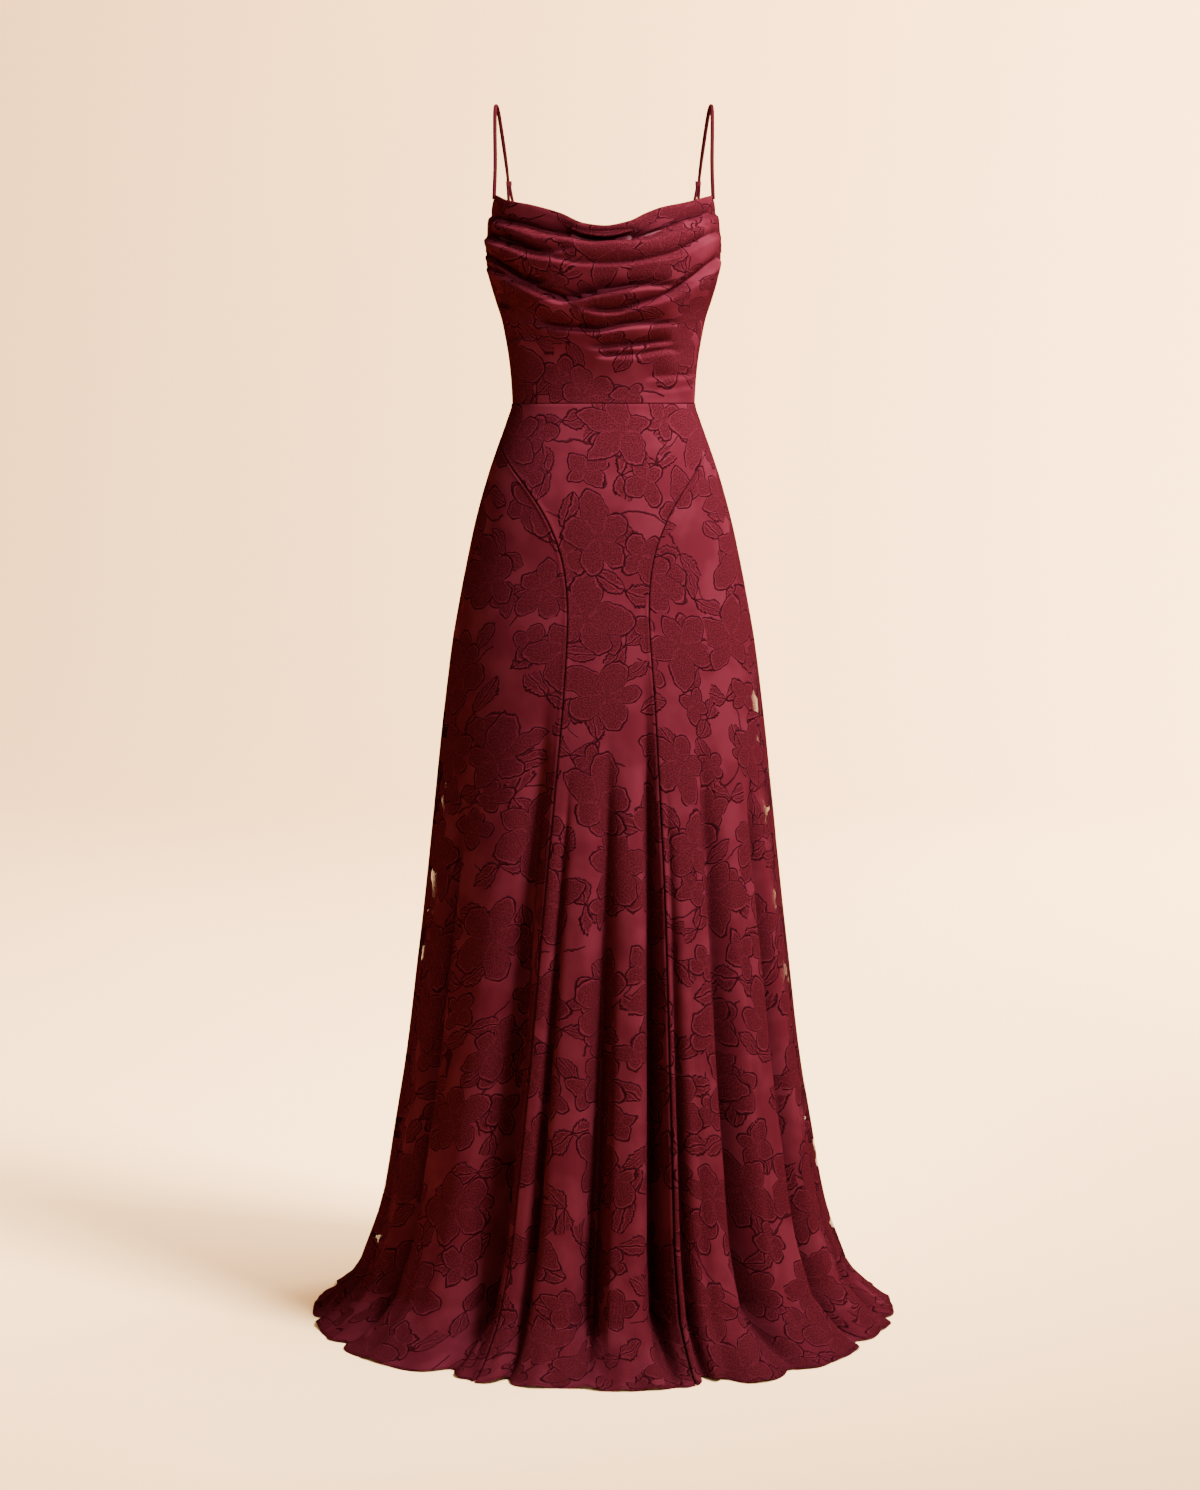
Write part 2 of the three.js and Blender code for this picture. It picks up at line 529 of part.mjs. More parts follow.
function makeBodice() {
  const corner = 0.5 - NECK_CORNER / SIDE_SEAM / 2;
  const neckShares = evenly(NECK_COLUMNS).map((t) => corner + (1 - 2 * corner) * t);
  const frontShares = [0, corner / 2, ...neckShares, 1 - corner / 2, 1];
  const pieces = [
    { name: "front", from: -SIDE_SEAM, to: SIDE_SEAM, shares: frontShares, rows: 30, liningColumns: 14 },
    { name: "back_left", from: SIDE_SEAM, to: CENTRE_BACK, shares: evenly(BACK_COLUMNS), rows: 8, liningColumns: 8 },
    { name: "back_right", from: -CENTRE_BACK, to: -SIDE_SEAM, shares: evenly(BACK_COLUMNS), rows: 8, liningColumns: 8 },
  ];
  for (const { name, from, to, shares, rows, liningColumns } of pieces) {
    const angles = (drop) => between(fixed(from), fixed(to), bodicePoint, drop, shares);
    add(`bodice_${name}`, wall({ point: bodicePoint, angles, drops: evenly(rows), thickness: CLOTH }), WINE);
    const liningAngles = (drop) => between(fixed(from), fixed(to), bodiceLiningPoint, drop, evenly(liningColumns));
    const drops = evenly(BODICE_LINING_ROWS);
    const lining = { point: bodiceLiningPoint, angles: liningAngles, drops, thickness: LINING_CLOTH };
    add(`lining_bodice_${name}`, wall(lining), SATIN);
  }
}

// A closed tube along a smooth curve through the given points, each with its own radius. Each stretch between two
// points gets the same number of rings, so close points make a fine curve.
function tube(stops, stretchRings) {
  const curve = new THREE.CatmullRomCurve3(stops.map(({ x, y, z }) => new THREE.Vector3(x, y, z)), false, "centripetal");
  const steps = stretchRings * (stops.length - 1);
  const points = [];
  let tangent = curve.getTangent(0);
  const normal = new THREE.Vector3(1, 0, 0).cross(tangent).normalize();
  for (let i = 0; i <= steps; i++) {
    const t = (i / steps) * (stops.length - 1);
    const stop = Math.min(Math.floor(t), stops.length - 2);
    const radius = stops[stop].radius + (stops[stop + 1].radius - stops[stop].radius) * (t - stop);
    const centre = curve.getPoint(i / steps);
    const next = curve.getTangent(i / steps);
    normal.applyQuaternion(new THREE.Quaternion().setFromUnitVectors(tangent, next));
    tangent = next;
    const binormal = tangent.clone().cross(normal);
    for (let j = 0; j < STRAP_SIDES; j++) {
      const turn = (2 * Math.PI * j) / STRAP_SIDES;
      const ring = normal.clone().multiplyScalar(Math.cos(turn)).addScaledVector(binormal, Math.sin(turn));
      points.push(centre.clone().addScaledVector(ring, radius));
    }
  }
  const index = [];
  for (let i = 0; i < steps; i++) {
    for (let j = 0; j < STRAP_SIDES; j++) {
      const a = i * STRAP_SIDES + j;
      const b = i * STRAP_SIDES + ((j + 1) % STRAP_SIDES);
      index.push(a, b, b + STRAP_SIDES, a, b + STRAP_SIDES, a + STRAP_SIDES);
    }
  }
  const last = steps * STRAP_SIDES;
  for (let j = 1; j + 1 < STRAP_SIDES; j++) {
    index.push(0, j + 1, j, last, last + j, last + j + 1);
  }
  const geometry = new THREE.BufferGeometry();
  geometry.setAttribute("position", new THREE.Float32BufferAttribute(points.flatMap((p) => p.toArray()), 3));
  geometry.setIndex(index);
  return geometry;
}

// A strap runs from the front corner of the neck over the shoulder and down through its slider to the back. There
// it turns round in an eye, held by a loop of cloth, and comes back up to end inside the slider.
function makeStrap(side, name) {
  const corner = bodicePoint(NECK_CORNER + STRAP_PAST_CORNER, 0);
  const eye = loopCentre();
  const radius = STRAP_DIAMETER / 2;
  const strand = STRAND_DIAMETER / 2;
  const apart = strand + SEAM_GAP;
  const { across, depth, height } = SLIDER;
  const stops = [
    { x: corner.x, y: corner.y, z: corner.z + SEAM_GAP, radius },
    ...OVER_SHOULDER.map((stop) => ({ ...stop, radius })),
    { x: across + apart, y: depth, z: height + STRAND_LEAD, radius: strand },
    { x: across + apart - SEAM_GAP, y: depth + STRAND_LEAN, z: height - STRAND_LEAD, radius: strand },
    ...EYE_STOPS.map(({ share, depth: y, up }) => ({
      x: eye.x + EYE.halfWidth * share,
      y: eye.y + y,
      z: eye.z + up,
      radius: strand,
    })),
    { x: across - apart - SEAM_GAP, y: depth + STRAND_LEAN, z: height - STRAND_LEAD, radius: strand },
    { x: across - apart, y: depth + STRAND_END.back, z: height + STRAND_END.up, radius: strand },
  ];
  add(`strap_${name}`, tube(stops.map((stop) => ({ ...stop, x: side * stop.x })), STRAP_RINGS), WINE);
}

// The middle of the hole in the cloth loop on the back's upper edge.
function loopCentre() {
  const edge = bodicePoint(BACK_STRAP_ANGLE, 0);
  return edge.add(new THREE.Vector3(0, 0, CLOTH / 2 + SEAM_GAP + LOOP.stem + LOOP.wall + LOOP.hole));
}

// An upright ring of cloth on a short stem, standing on the back's upper edge.
function makeLoop(side, name) {
  const { hole, wall: cloth, wide, stem } = LOOP;
  const outer = hole + cloth;
  const half = CLOTH / 2;
  const foot = -outer - stem;
  const outline = new THREE.Shape();
  const start = Math.asin(half / outer);
  outline.moveTo(-half, foot);
  outline.lineTo(half, foot);
  outline.absarc(0, 0, outer, -Math.PI / 2 + start, Math.PI * 1.5 - start, false);
  outline.closePath();
  const opening = new THREE.Path();
  opening.absarc(0, 0, hole, 0, Math.PI * 2, true);
  outline.holes.push(opening);
  const geometry = new THREE.ExtrudeGeometry(outline, { depth: wide, bevelEnabled: false, curveSegments: 9 });
  geometry.translate(0, 0, -wide / 2);
  geometry.applyMatrix4(PROFILE_ACROSS);
  const centre = loopCentre();
  geometry.translate(side * centre.x, centre.y, centre.z);
  add(`strap_loop_${name}`, geometry, WINE);
}

// Turns a profile drawn in x and y so that it lies front to back and up, and runs across.
const PROFILE_ACROSS = new THREE.Matrix4().makeBasis(
  new THREE.Vector3(0, 1, 0),
  new THREE.Vector3(0, 0, 1),
  new THREE.Vector3(1, 0, 0),
);

// A flat sleeve round both strands of the strap.
function makeSlider(side, name) {
  const { across, depth, back, height, wall: metal, long, roundness } = SLIDER;
  const halfX = STRAND_DIAMETER + SEAM_GAP * 2;
  const halfY = STRAND_DIAMETER / 2 + SEAM_GAP;
  const outline = roundedBox(halfX + metal, halfY + metal, metal + halfY * roundness);
  outline.holes.push(roundedBox(halfX, halfY, halfY * roundness));
  const geometry = new THREE.ExtrudeGeometry(outline, { depth: long, bevelEnabled: false, curveSegments: 2 });
  geometry.translate(0, 0, -long / 2);
  geometry.rotateX(radians(SLIDER_LEAN));
  geometry.translate(side * across, depth + back, height);
  add(`slider_${name}`, geometry, ENAMEL);
}

function roundedBox(halfX, halfY, corner) {
  const shape = new THREE.Shape();
  shape.moveTo(-halfX + corner, -halfY);
  shape.lineTo(halfX - corner, -halfY);
  shape.absarc(halfX - corner, -halfY + corner, corner, -Math.PI / 2, 0);
  shape.lineTo(halfX, halfY - corner);
  shape.absarc(halfX - corner, halfY - corner, corner, 0, Math.PI / 2);
  shape.lineTo(-halfX + corner, halfY);
  shape.absarc(-halfX + corner, halfY - corner, corner, Math.PI / 2, Math.PI);
  shape.lineTo(-halfX, -halfY + corner);
  shape.absarc(-halfX + corner, -halfY + corner, corner, Math.PI, Math.PI * 1.5);
  return shape;
}

// The zip's tape lies against the inside of the centre back, over bodice and skirt.
function makeZip() {
  const top = bodicePoint(CENTRE_BACK, 0).z - ZIP.belowEdge;
  const point = (angle, drop) => {
    const height = top + (ZIP.bottom - top) * drop;
    return place(figureRadius(angle, height) - ZIP.inside, angle, height);
  };
  const reach = THREE.MathUtils.radToDeg(ZIP.halfWidth / ZIP.turnRadius);
  const angles = () => evenly(ZIP.columns).map((t) => CENTRE_BACK - reach + 2 * reach * t);
  add("zip", wall({ point, angles, drops: evenly(ZIP.rows), thickness: ZIP.thickness }), WINE);
}

// The zip's slider body with its bail, and the pull tab that hangs from the bail.
function makeZipSlider() {
  const { width, length, thickness, belowEdge, off } = ZIP_SLIDER;
  const height = bodicePoint(CENTRE_BACK, 0).z - belowEdge - length / 2;
  const face = figureRadius(CENTRE_BACK, height) + CLOTH / 2 + off;
  const outer = BAIL.hole + BAIL.wall;
  const pivot = { y: face + thickness + outer - BAIL_SUNK, z: height + length / 2 - outer };
  const plate = new THREE.BoxGeometry(width, thickness, length);
  plate.translate(0, face + thickness / 2, height);
  const ring = new THREE.Shape();
  ring.absarc(0, 0, outer, 0, Math.PI * 2, false);
  const opening = new THREE.Path();
  opening.absarc(0, 0, BAIL.hole, 0, Math.PI * 2, true);
  ring.holes.push(opening);
  const bail = new THREE.ExtrudeGeometry(ring, { depth: BAIL.wide, bevelEnabled: false, curveSegments: 10 });
  bail.translate(0, 0, -BAIL.wide / 2);
  bail.applyMatrix4(PROFILE_ACROSS);
  bail.translate(0, pivot.y, pivot.z);
  add("zip_slider", union(plate, bail), ENAMEL);

  const half = PULL.bar / 2;
  const tab = roundedBox(PULL.width / 2, PULL.length / 2, PULL.corner);
  const window = roundedBox(PULL.width / 2 - PULL.side, PULL.windowLength / 2, PULL.corner / 2);
  const down = PULL.length / 2 - half;
  tab.holes.push(shifted(window, down - half - PULL.windowLength / 2));
  const pull = new THREE.ExtrudeGeometry(tab, { depth: PULL.thickness, bevelEnabled: false, curveSegments: 2 });
  pull.translate(0, -down, -PULL.thickness / 2);
  pull.rotateX(Math.PI / 2);
  pull.translate(0, pivot.y, pivot.z);
  add("zip_pull", pull, ENAMEL);
}

// A closed outline moved up by a distance, as a hole.
function shifted(shape, up) {
  return new THREE.Path(shape.getPoints(4).map((p) => new THREE.Vector2(p.x, p.y + up)));
}

const solidOf = (geometry) => {
  const bare = new THREE.BufferGeometry().setAttribute("position", geometry.getAttribute("position"));
  const merged = mergeVertices(bare.setIndex(geometry.getIndex()), 1e-3);
  return new wasm.Manifold(
    new wasm.Mesh({
      numProp: 3,
      vertProperties: merged.attributes.position.array,
      triVerts: new Uint32Array(merged.index.array),
    }),
  );
};

// Two solids joined into one.
function union(a, b) {
  const joined = solidOf(a).add(solidOf(b)).getMesh();
  const geometry = new THREE.BufferGeometry();
  geometry.setAttribute("position", new THREE.BufferAttribute(joined.vertProperties, joined.numProp));
  geometry.setIndex(new THREE.BufferAttribute(joined.triVerts, 1));
  return geometry;
}

makeSkirt();
makeSkirtLining();
makeBodice();
for (const [name, side] of [["left", 1], ["right", -1]]) {
  makeStrap(side, name);
  makeSlider(side, name);
  makeLoop(side, name);
}
makeZip();
makeZipSlider();

export default dress;
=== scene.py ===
"""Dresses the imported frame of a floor-length evening dress with a cowl neck and thin straps, and lights it.

Sizes are in millimetres and heights are above the floor. Angles are degrees round the figure: 0 at the centre
front, 90 at the left side seam, 180 at the centre back. The finished meshes are in metres."""

import math

import bpy
import numpy as np
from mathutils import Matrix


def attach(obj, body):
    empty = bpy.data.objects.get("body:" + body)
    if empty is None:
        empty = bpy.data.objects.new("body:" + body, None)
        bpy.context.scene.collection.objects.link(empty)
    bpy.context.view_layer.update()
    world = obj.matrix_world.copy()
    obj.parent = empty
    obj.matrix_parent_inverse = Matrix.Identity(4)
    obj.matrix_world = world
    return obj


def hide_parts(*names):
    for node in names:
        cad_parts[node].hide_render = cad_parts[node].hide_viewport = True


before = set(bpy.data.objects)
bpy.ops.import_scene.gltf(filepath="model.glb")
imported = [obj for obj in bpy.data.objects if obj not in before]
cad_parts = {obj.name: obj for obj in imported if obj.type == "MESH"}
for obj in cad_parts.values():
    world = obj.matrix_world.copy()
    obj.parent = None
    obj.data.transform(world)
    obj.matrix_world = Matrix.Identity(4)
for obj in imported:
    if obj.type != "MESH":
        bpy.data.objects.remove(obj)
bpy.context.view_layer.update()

METRE = 0.001
DRESS = "dress"

# Driving sizes, mostly the part's; the sweep, furrows, swags and straps are a little fuller here
SHOULDER_HEIGHT = 1540
WAIST_HEIGHT = 1167
SEAM_GAP = 0.3
FLOOR_CLEARANCE = 0.9
SIDE_SEAM = 90
CENTRE_BACK = 180
SWEEP_HEIGHT = 62
HEM_RADIUS = 376
SWEEP_FALL = 1.5
SWEEP_SPREAD = 1.05
FURROW_GROWTH = 0.95
FURROW_TOP_WIDTH = 0.55
FURROW_SWEEP = 0.85
CREASE_SHARE = 0.3
CREASE_WIDTH = 0.45
SEAM_TOP = 1128
SEAM_KNEE = 800
SEAM_CURVE = 3.8
SEAM_POINT = 0.8
NECK_CORNER = 71.5
UNDERARM_HEIGHT = 1368
BACK_STRAP_ANGLE = 120.5
BACK_STRAP_HEIGHT = 1388
BACK_CENTRE_HEIGHT = 1378
SWAG_REACH = 146
SWAG_POWER = 1.45
SWAG_TUCK = 1.0
SWAG_TUCK_WIDTH = 9
SWAG_GROOVE = 0.4
SWAG_GROOVE_WIDTH = 3.2
SWAG_GAIN = 1.05
SWAG_LEDGE = 5
SWAG_FALL = 24
SWAG_FADE = 22
LIP_DEPTH = 5
LIP_HEIGHT = 9
SIDE_FADE = 26
WAIST_SETTLE = 30
SIDE_RELIEF = 0.1
ARMHOLE_CURVE = 0.8
EDGE_HEIGHT = 1430.0
LINING_BELOW_EDGE = 6
LINING_CLEAR = 3
LINING_SIDE_POWER = 4

# Where the cloth stands away from the lining: at the sides between two heights, and a little at the hem
SHEER_SIDE = 0.935
SHEER_SIDE_FADE = 0.05
SHEER_TOP = 880
SHEER_TOP_FADE = 80
SHEER_BOTTOM = 20
SHEER_BOTTOM_FADE = 60
HEM_SHEER = 0.15
HEM_SHEER_FADE = 40

# How finely the cloth is laid out, and how thick it is
SKIRT_STEP = 5.0
BODICE_STEP = 1.9
LINING_STEP = 8.0
FINE = 600
CLOTH = 0.7
LINING_CLOTH = 0.5

# How far the cloth turns in at its seams, and how much it leans under its own panel there
TURNED_SEAM = 4.0
TURN_LEAN = 0.05
TINY = 1e-9


def table(names, rows):
    """A table of numbers as named columns."""
    return dict(zip(names.split(), np.array(rows, float).T))


def rows_of(columns):
    """The rows of a table, each with its values under the columns' names."""
    return [dict(zip(columns, row)) for row in zip(*columns.values())]


# Half width to the side, and depth to the front and the back, at each height. corner squares the section off
FIGURE = table("height side front back corner", [
    (1430, 139, 110, 90, 2.4),
    (1397, 144, 118, 95, 2.4),
    (1372, 147, 124, 98, 2.4),
    (1347, 147, 126, 99, 2.4),
    (1322, 143, 123, 98, 2.4),
    (1297, 136, 116, 95, 2.35),
    (1272, 128, 107, 91, 2.3),
    (1247, 123, 98, 87, 2.25),
    (1222, 119, 91, 83, 2.2),
    (1190, 116, 86, 80, 2.2),
    (1167, 115, 84, 79, 2.2),
    (1146, 121, 86, 85, 2.2),
    (1121, 130, 91, 94, 2.2),
    (1071, 147, 103, 109, 2.2),
    (1020, 161, 111, 122, 2.15),
    (970, 172, 117, 128, 2.1),
    (919, 182, 126, 133, 2.1),
    (868, 191, 138, 142, 2.05),
    (766, 204, 161, 162, 2),
    (663, 215, 184, 182, 2),
    (560, 226, 206, 202, 2),
    (456, 238, 225, 220, 2),
    (352, 250, 243, 238, 2),
    (247, 266, 263, 258, 2),
    (142, 284, 283, 279, 2),
    (62, 311, 311, 308, 2),
])

# at is a furrow's angle at the hem, start the height where it begins, hem the depth left at the hem
FURROWS = table("at depth width start hem", [
    (-62, 52, 17, 760, 16),
    (-33, 74, 31, 880, 26),
    (-20, 44, 10, 760, 24),
    (-4, 60, 21, 820, 8),
    (13, 74, 16, 890, 6),
    (20, 34, 8, 760, 30),
    (38, 60, 21, 820, 14),
    (62, 62, 17, 780, 18),
    (81, 34, 12, 560, 10),
    (103, 50, 16, 700, 14),
    (124, 58, 17, 780, 8),
    (146, 62, 18, 820, 20),
    (167, 56, 16, 760, 6),
    (-172, 60, 18, 800, 18),
    (-150, 58, 17, 820, 8),
    (-128, 60, 18, 760, 20),
    (-106, 50, 16, 700, 8),
    (-81, 36, 12, 580, 10),
])

CURVED_SEAMS = {
    "front_left": {"centre": 0, "turn": 1, "knee": 23.5, "hem": 17},
    "front_right": {"centre": 0, "turn": -1, "knee": 18.7, "hem": 25.5},
    "back_left": {"centre": 180, "turn": -1, "knee": 21, "hem": 23},
    "back_right": {"centre": -180, "turn": 1, "knee": 21, "hem": 22},
}

# Each skirt panel runs between two seams: a named curved one, or one that stays at an angle
PANELS = {
    "skirt_front_centre": {"start": "front_right", "end": "front_left", "top": WAIST_HEIGHT},
    "skirt_front_side_left": {"start": "front_left", "end": SIDE_SEAM, "top": SEAM_TOP},
    "skirt_front_side_right": {"start": -SIDE_SEAM, "end": "front_right", "top": SEAM_TOP},
    "skirt_back_side_left": {"start": SIDE_SEAM, "end": "back_left", "top": SEAM_TOP},
    "skirt_back_side_right": {"start": "back_right", "end": -SIDE_SEAM, "top": SEAM_TOP},
    "skirt_back_centre_left": {"start": "back_left", "end": CENTRE_BACK, "top": WAIST_HEIGHT},
    "skirt_back_centre_right": {"start": -CENTRE_BACK, "end": "back_right", "top": WAIST_HEIGHT},
}

NECKLINE = table("across height", [
    (-134, 1424),
    (-115, 1415),
    (-84, 1408),
    (-48, 1397),
    (-21, 1384.5),
    (1, 1381.5),
    (27, 1387),
    (47, 1397),
    (66, 1404.5),
    (96, 1411.5),
    (134, 1423),
])

# Each swag's crease hangs from two heights at the side seams to its lowest point
SWAGS = table("low low_at right_end left_end right_depth depth left_depth from_x to_x", [
    (1363, -12, 1404, 1401, 7, 13, 6, -170, 170),
    (1334, 0, 1377, 1376, 8, 3, 6, -170, 170),
    (1297, -48, 1354, 1330, 8, 12, 3, -170, 92),
    (1279, 18, 1320, 1346, 2, 7, 9, -30, 170),
    (1260, -2, 1272, 1270, 3, 8, 3, -92, 96),
    (1239, 45, 1248, 1246, 2, 6, 3, -26, 92),
    (1284, -112, 1297, 1300, 6, 4, 0, -170, -104),
    (1353, -62, 1378, 1378, 6, 4, 0, -170, -30),
    (1318, -96, 1338, 1340, 6, 5, 0, -170, -62),
    (1228, 40, 1236, 1234, 2, 4, 4, -14, 100),
    (1199, 96, 1196, 1210, 1, 3, 4, 46, 170),
    (1184, 92, 1180, 1192, 1, 2, 4, 40, 170),
    (1246, -104, 1240, 1258, 4, 2, 1, -170, -74),
])

# Slow waves that keep the creases from running evenly: how high, and how long across and down
WANDER = ((3.2, 27, 37), (0.6, 9.5, -23))

# The gap from the outer cloth to the lining: all round, and further at the sides
LINING_GAPS = table("height all side", [
    (1430, 9, 0),
    (1250, 9, 0),
    (1167, 6.5, 0),
    (1000, 6.5, 2),
    (750, 7, 8),
    (450, 7.9, 13),
    (0, 8.8, 18),
])


def smooth(x):
    """0 below 0, 1 above 1, and an S curve between."""
    x = np.clip(x, 0, 1)
    return x * x * (3 - 2 * x)


def read(columns, key, column, at):
    """A table's column between its rows: cubic Hermite pieces whose slopes are harmonic means."""
    order = np.argsort(columns[key])
    x = columns[key][order]
    y = columns[column][order]
    slope = np.diff(y) / np.diff(x)
    product = slope[:-1] * slope[1:]
    mean = 2 * product / np.where(product > 0, slope[:-1] + slope[1:], 1)
    tangent = np.concatenate([slope[:1], np.where(product > 0, mean, 0), slope[-1:]])
    at = np.clip(at, x[0], x[-1])
    i = np.clip(np.searchsorted(x, at, side="right") - 1, 0, len(x) - 2)
    h = x[i + 1] - x[i]
    t = (at - x[i]) / h
    return (
        (1 + 2 * t) * (1 - t) ** 2 * y[i]
        + t * (1 - t) ** 2 * h * tangent[i]
        + t * t * (3 - 2 * t) * y[i + 1]
        + t * t * (t - 1) * h * tangent[i + 1]
    )


def figure_radius(angle, height):
    """Distance from the axis to the figure: a superellipse of the table's half width, depth and corner."""
    turn = np.radians(angle)
    side = read(FIGURE, "height", "side", height)
    front = read(FIGURE, "height", "front", height)
    back = read(FIGURE, "height", "back", height)
    corner = read(FIGURE, "height", "corner", height)
    depth = np.where(np.cos(turn) >= 0, front, back)
    across = (np.abs(np.sin(turn)) / side) ** corner
    along = (np.abs(np.cos(turn)) / depth) ** corner
    return (across + along) ** (-1 / corner)


def place(radius, angle, height):
    """A point at a distance from the axis, an angle round it and a height."""
    turn = np.radians(angle)
    radius, turn, height = np.broadcast_arrays(radius, turn, height)
    return np.stack([radius * np.sin(turn), -radius * np.cos(turn), height], -1)


def height_at(drop):
    """The height at a drop: a straight line from 0 at the waist to 1 where the sweep begins."""
    return WAIST_HEIGHT - (WAIST_HEIGHT - SWEEP_HEIGHT) * drop


def seam_angle(edge, height):
    """A seam's angle at a height: fixed, or a straight line below its knee and a power curve above it."""
    if not isinstance(edge, str):
        return np.full_like(np.asarray(height, float), edge)
    seam = CURVED_SEAMS[edge]
    bend = np.clip((height - SEAM_KNEE) / (SEAM_TOP - SEAM_KNEE), 0, 1)
    down = np.clip((SEAM_KNEE - height) / SEAM_KNEE, 0, 1)
    straight = seam["knee"] + (seam["hem"] - seam["knee"]) * down
    off = straight + (SIDE_SEAM - SEAM_POINT - straight) * bend**SEAM_CURVE
    return seam["centre"] + seam["turn"] * np.where(height > SEAM_TOP, SIDE_SEAM, off)


def seam_angles(panel, height):
    return seam_angle(PANELS[panel]["start"], height), seam_angle(PANELS[panel]["end"], height)


def with_panels(furrows):
    """Gives each furrow its panel and its share of that panel's width at the hem."""
    owned = []
    for furrow in rows_of(furrows):
        for panel in PANELS:
            start, end = (float(edge) for edge in seam_angles(panel, 0.0))
            if start <= furrow["at"] < end:
                share = (furrow["at"] - start) / (end - start)
                owned.append({**furrow, "panel": panel, "share": share})
    return owned


# Small furrows between the large ones, which show low down only
SMALL_FURROWS = 64
SMALL_REACH = 178
SMALL_RANGES = {"at": (-2.2, 2.2), "depth": (-7, 7), "width": (5, 9), "start": (260, 700), "hem": (-2, 2)}

# Low ridges where the hem lies on the floor
RIDGES = 46
RIDGE_REACH = 176
RIDGE_RANGES = {"at": (-2.6, 2.6), "high": (1.5, 8), "wide": (1.2, 2.6)}
RIDGE_WAVE = 0.84

SEED = 7
draw = np.random.default_rng(SEED)


def drawn(count, reach, ranges):
    """Columns of random numbers in their ranges, with even steps round the hem added to the angles."""
    columns = {key: draw.uniform(low, high, count) for key, (low, high) in ranges.items()}
    return {**columns, "at": np.linspace(-reach, reach, count) + columns["at"]}


ALL_FURROWS = with_panels(FURROWS) + with_panels(drawn(SMALL_FURROWS, SMALL_REACH, SMALL_RANGES))
ALL_RIDGES = drawn(RIDGES, RIDGE_REACH, RIDGE_RANGES)


def turned(angle, at):
    """How many degrees an angle lies past another, from -180 to 180."""
    return (angle - at + 180) % 360 - 180


def furrow_depth(angle, height, radius, swept):
    """How far the furrows run in: the sum of each one's depth times a wide bell and a narrow one."""
    total = np.zeros(np.broadcast(angle, height).shape)
    for furrow in ALL_FURROWS:
        grown = np.clip((furrow["start"] - height) / (furrow["start"] - SWEEP_HEIGHT), 0, None)
        hanging = furrow["depth"] * grown**FURROW_GROWTH * smooth(4 * grown)
        lying = furrow["hem"] + (furrow["depth"] - furrow["hem"]) * (1 - swept) ** FURROW_SWEEP
        start, end = seam_angles(furrow["panel"], height)
        at = start + furrow["share"] * (end - start)
        wide = furrow["width"] * (FURROW_TOP_WIDTH + (1 - FURROW_TOP_WIDTH) * np.minimum(grown, 1))
        off = np.radians(turned(angle, at)) * radius / wide
        crease = CREASE_SHARE * np.exp(-((off / CREASE_WIDTH) ** 2))
        bell = (1 - CREASE_SHARE) * np.exp(-off * off) + crease
        total += np.where(swept > 0, lying, hanging) * bell
    return total


# The hem's own line: how far it reaches past the circle at some angles, and how wide that reach is
HEM_REACHES = table("at reach width", [
    (-56, 4, 9),
    (-33, -13, 2.2),
    (-26.5, -7, 1.6),
    (-18, -8, 5),
    (-8, -10, 4),
    (19.5, -12, 3.2),
    (24, -22, 1.6),
    (30, 13, 5),
    (43, 5, 6),
    (68, -6, 8),
    (118, -9, 7),
    (152, 6, 6),
    (-160, -8, 6),
    (-118, 5, 8),
])


def ripples(angle, swept):
    """Low ridges that run out over the floor: a bell across, and a sine along, half gone at the hem."""
    total = np.zeros(np.broadcast(angle, swept).shape)
    for ridge in rows_of(ALL_RIDGES):
        off = turned(angle, ridge["at"]) / ridge["wide"]
        total += ridge["high"] * np.exp(-off * off)
    return total * np.sin(np.pi * RIDGE_WAVE * swept)


def skirt_point(angle, drop, inward=0.0):
    """A point of the skirt. drop is 0 at the waist, 1 where the sweep begins, and 2 at the hem. The radius is
    the figure's, spreading by a power curve to the hem's, less the furrows."""
    swept = np.maximum(0, drop - 1)
    height = height_at(np.minimum(drop, 1))
    base = figure_radius(angle, height)
    reach = np.zeros(np.broadcast(angle, drop).shape)
    for bulge in rows_of(HEM_REACHES):
        reach += bulge["reach"] * np.exp(-((turned(angle, bulge["at"]) / bulge["width"]) ** 2))
    radius = base + (HEM_RADIUS - base) * swept**SWEEP_SPREAD + reach * swept**2
    floor = FLOOR_CLEARANCE + (SWEEP_HEIGHT - FLOOR_CLEARANCE) * (1 - swept) ** SWEEP_FALL
    floor = floor + ripples(angle, swept)
    inner = radius - furrow_depth(angle, height, radius, swept) - inward
    return place(inner, angle, np.where(swept > 0, floor, height))


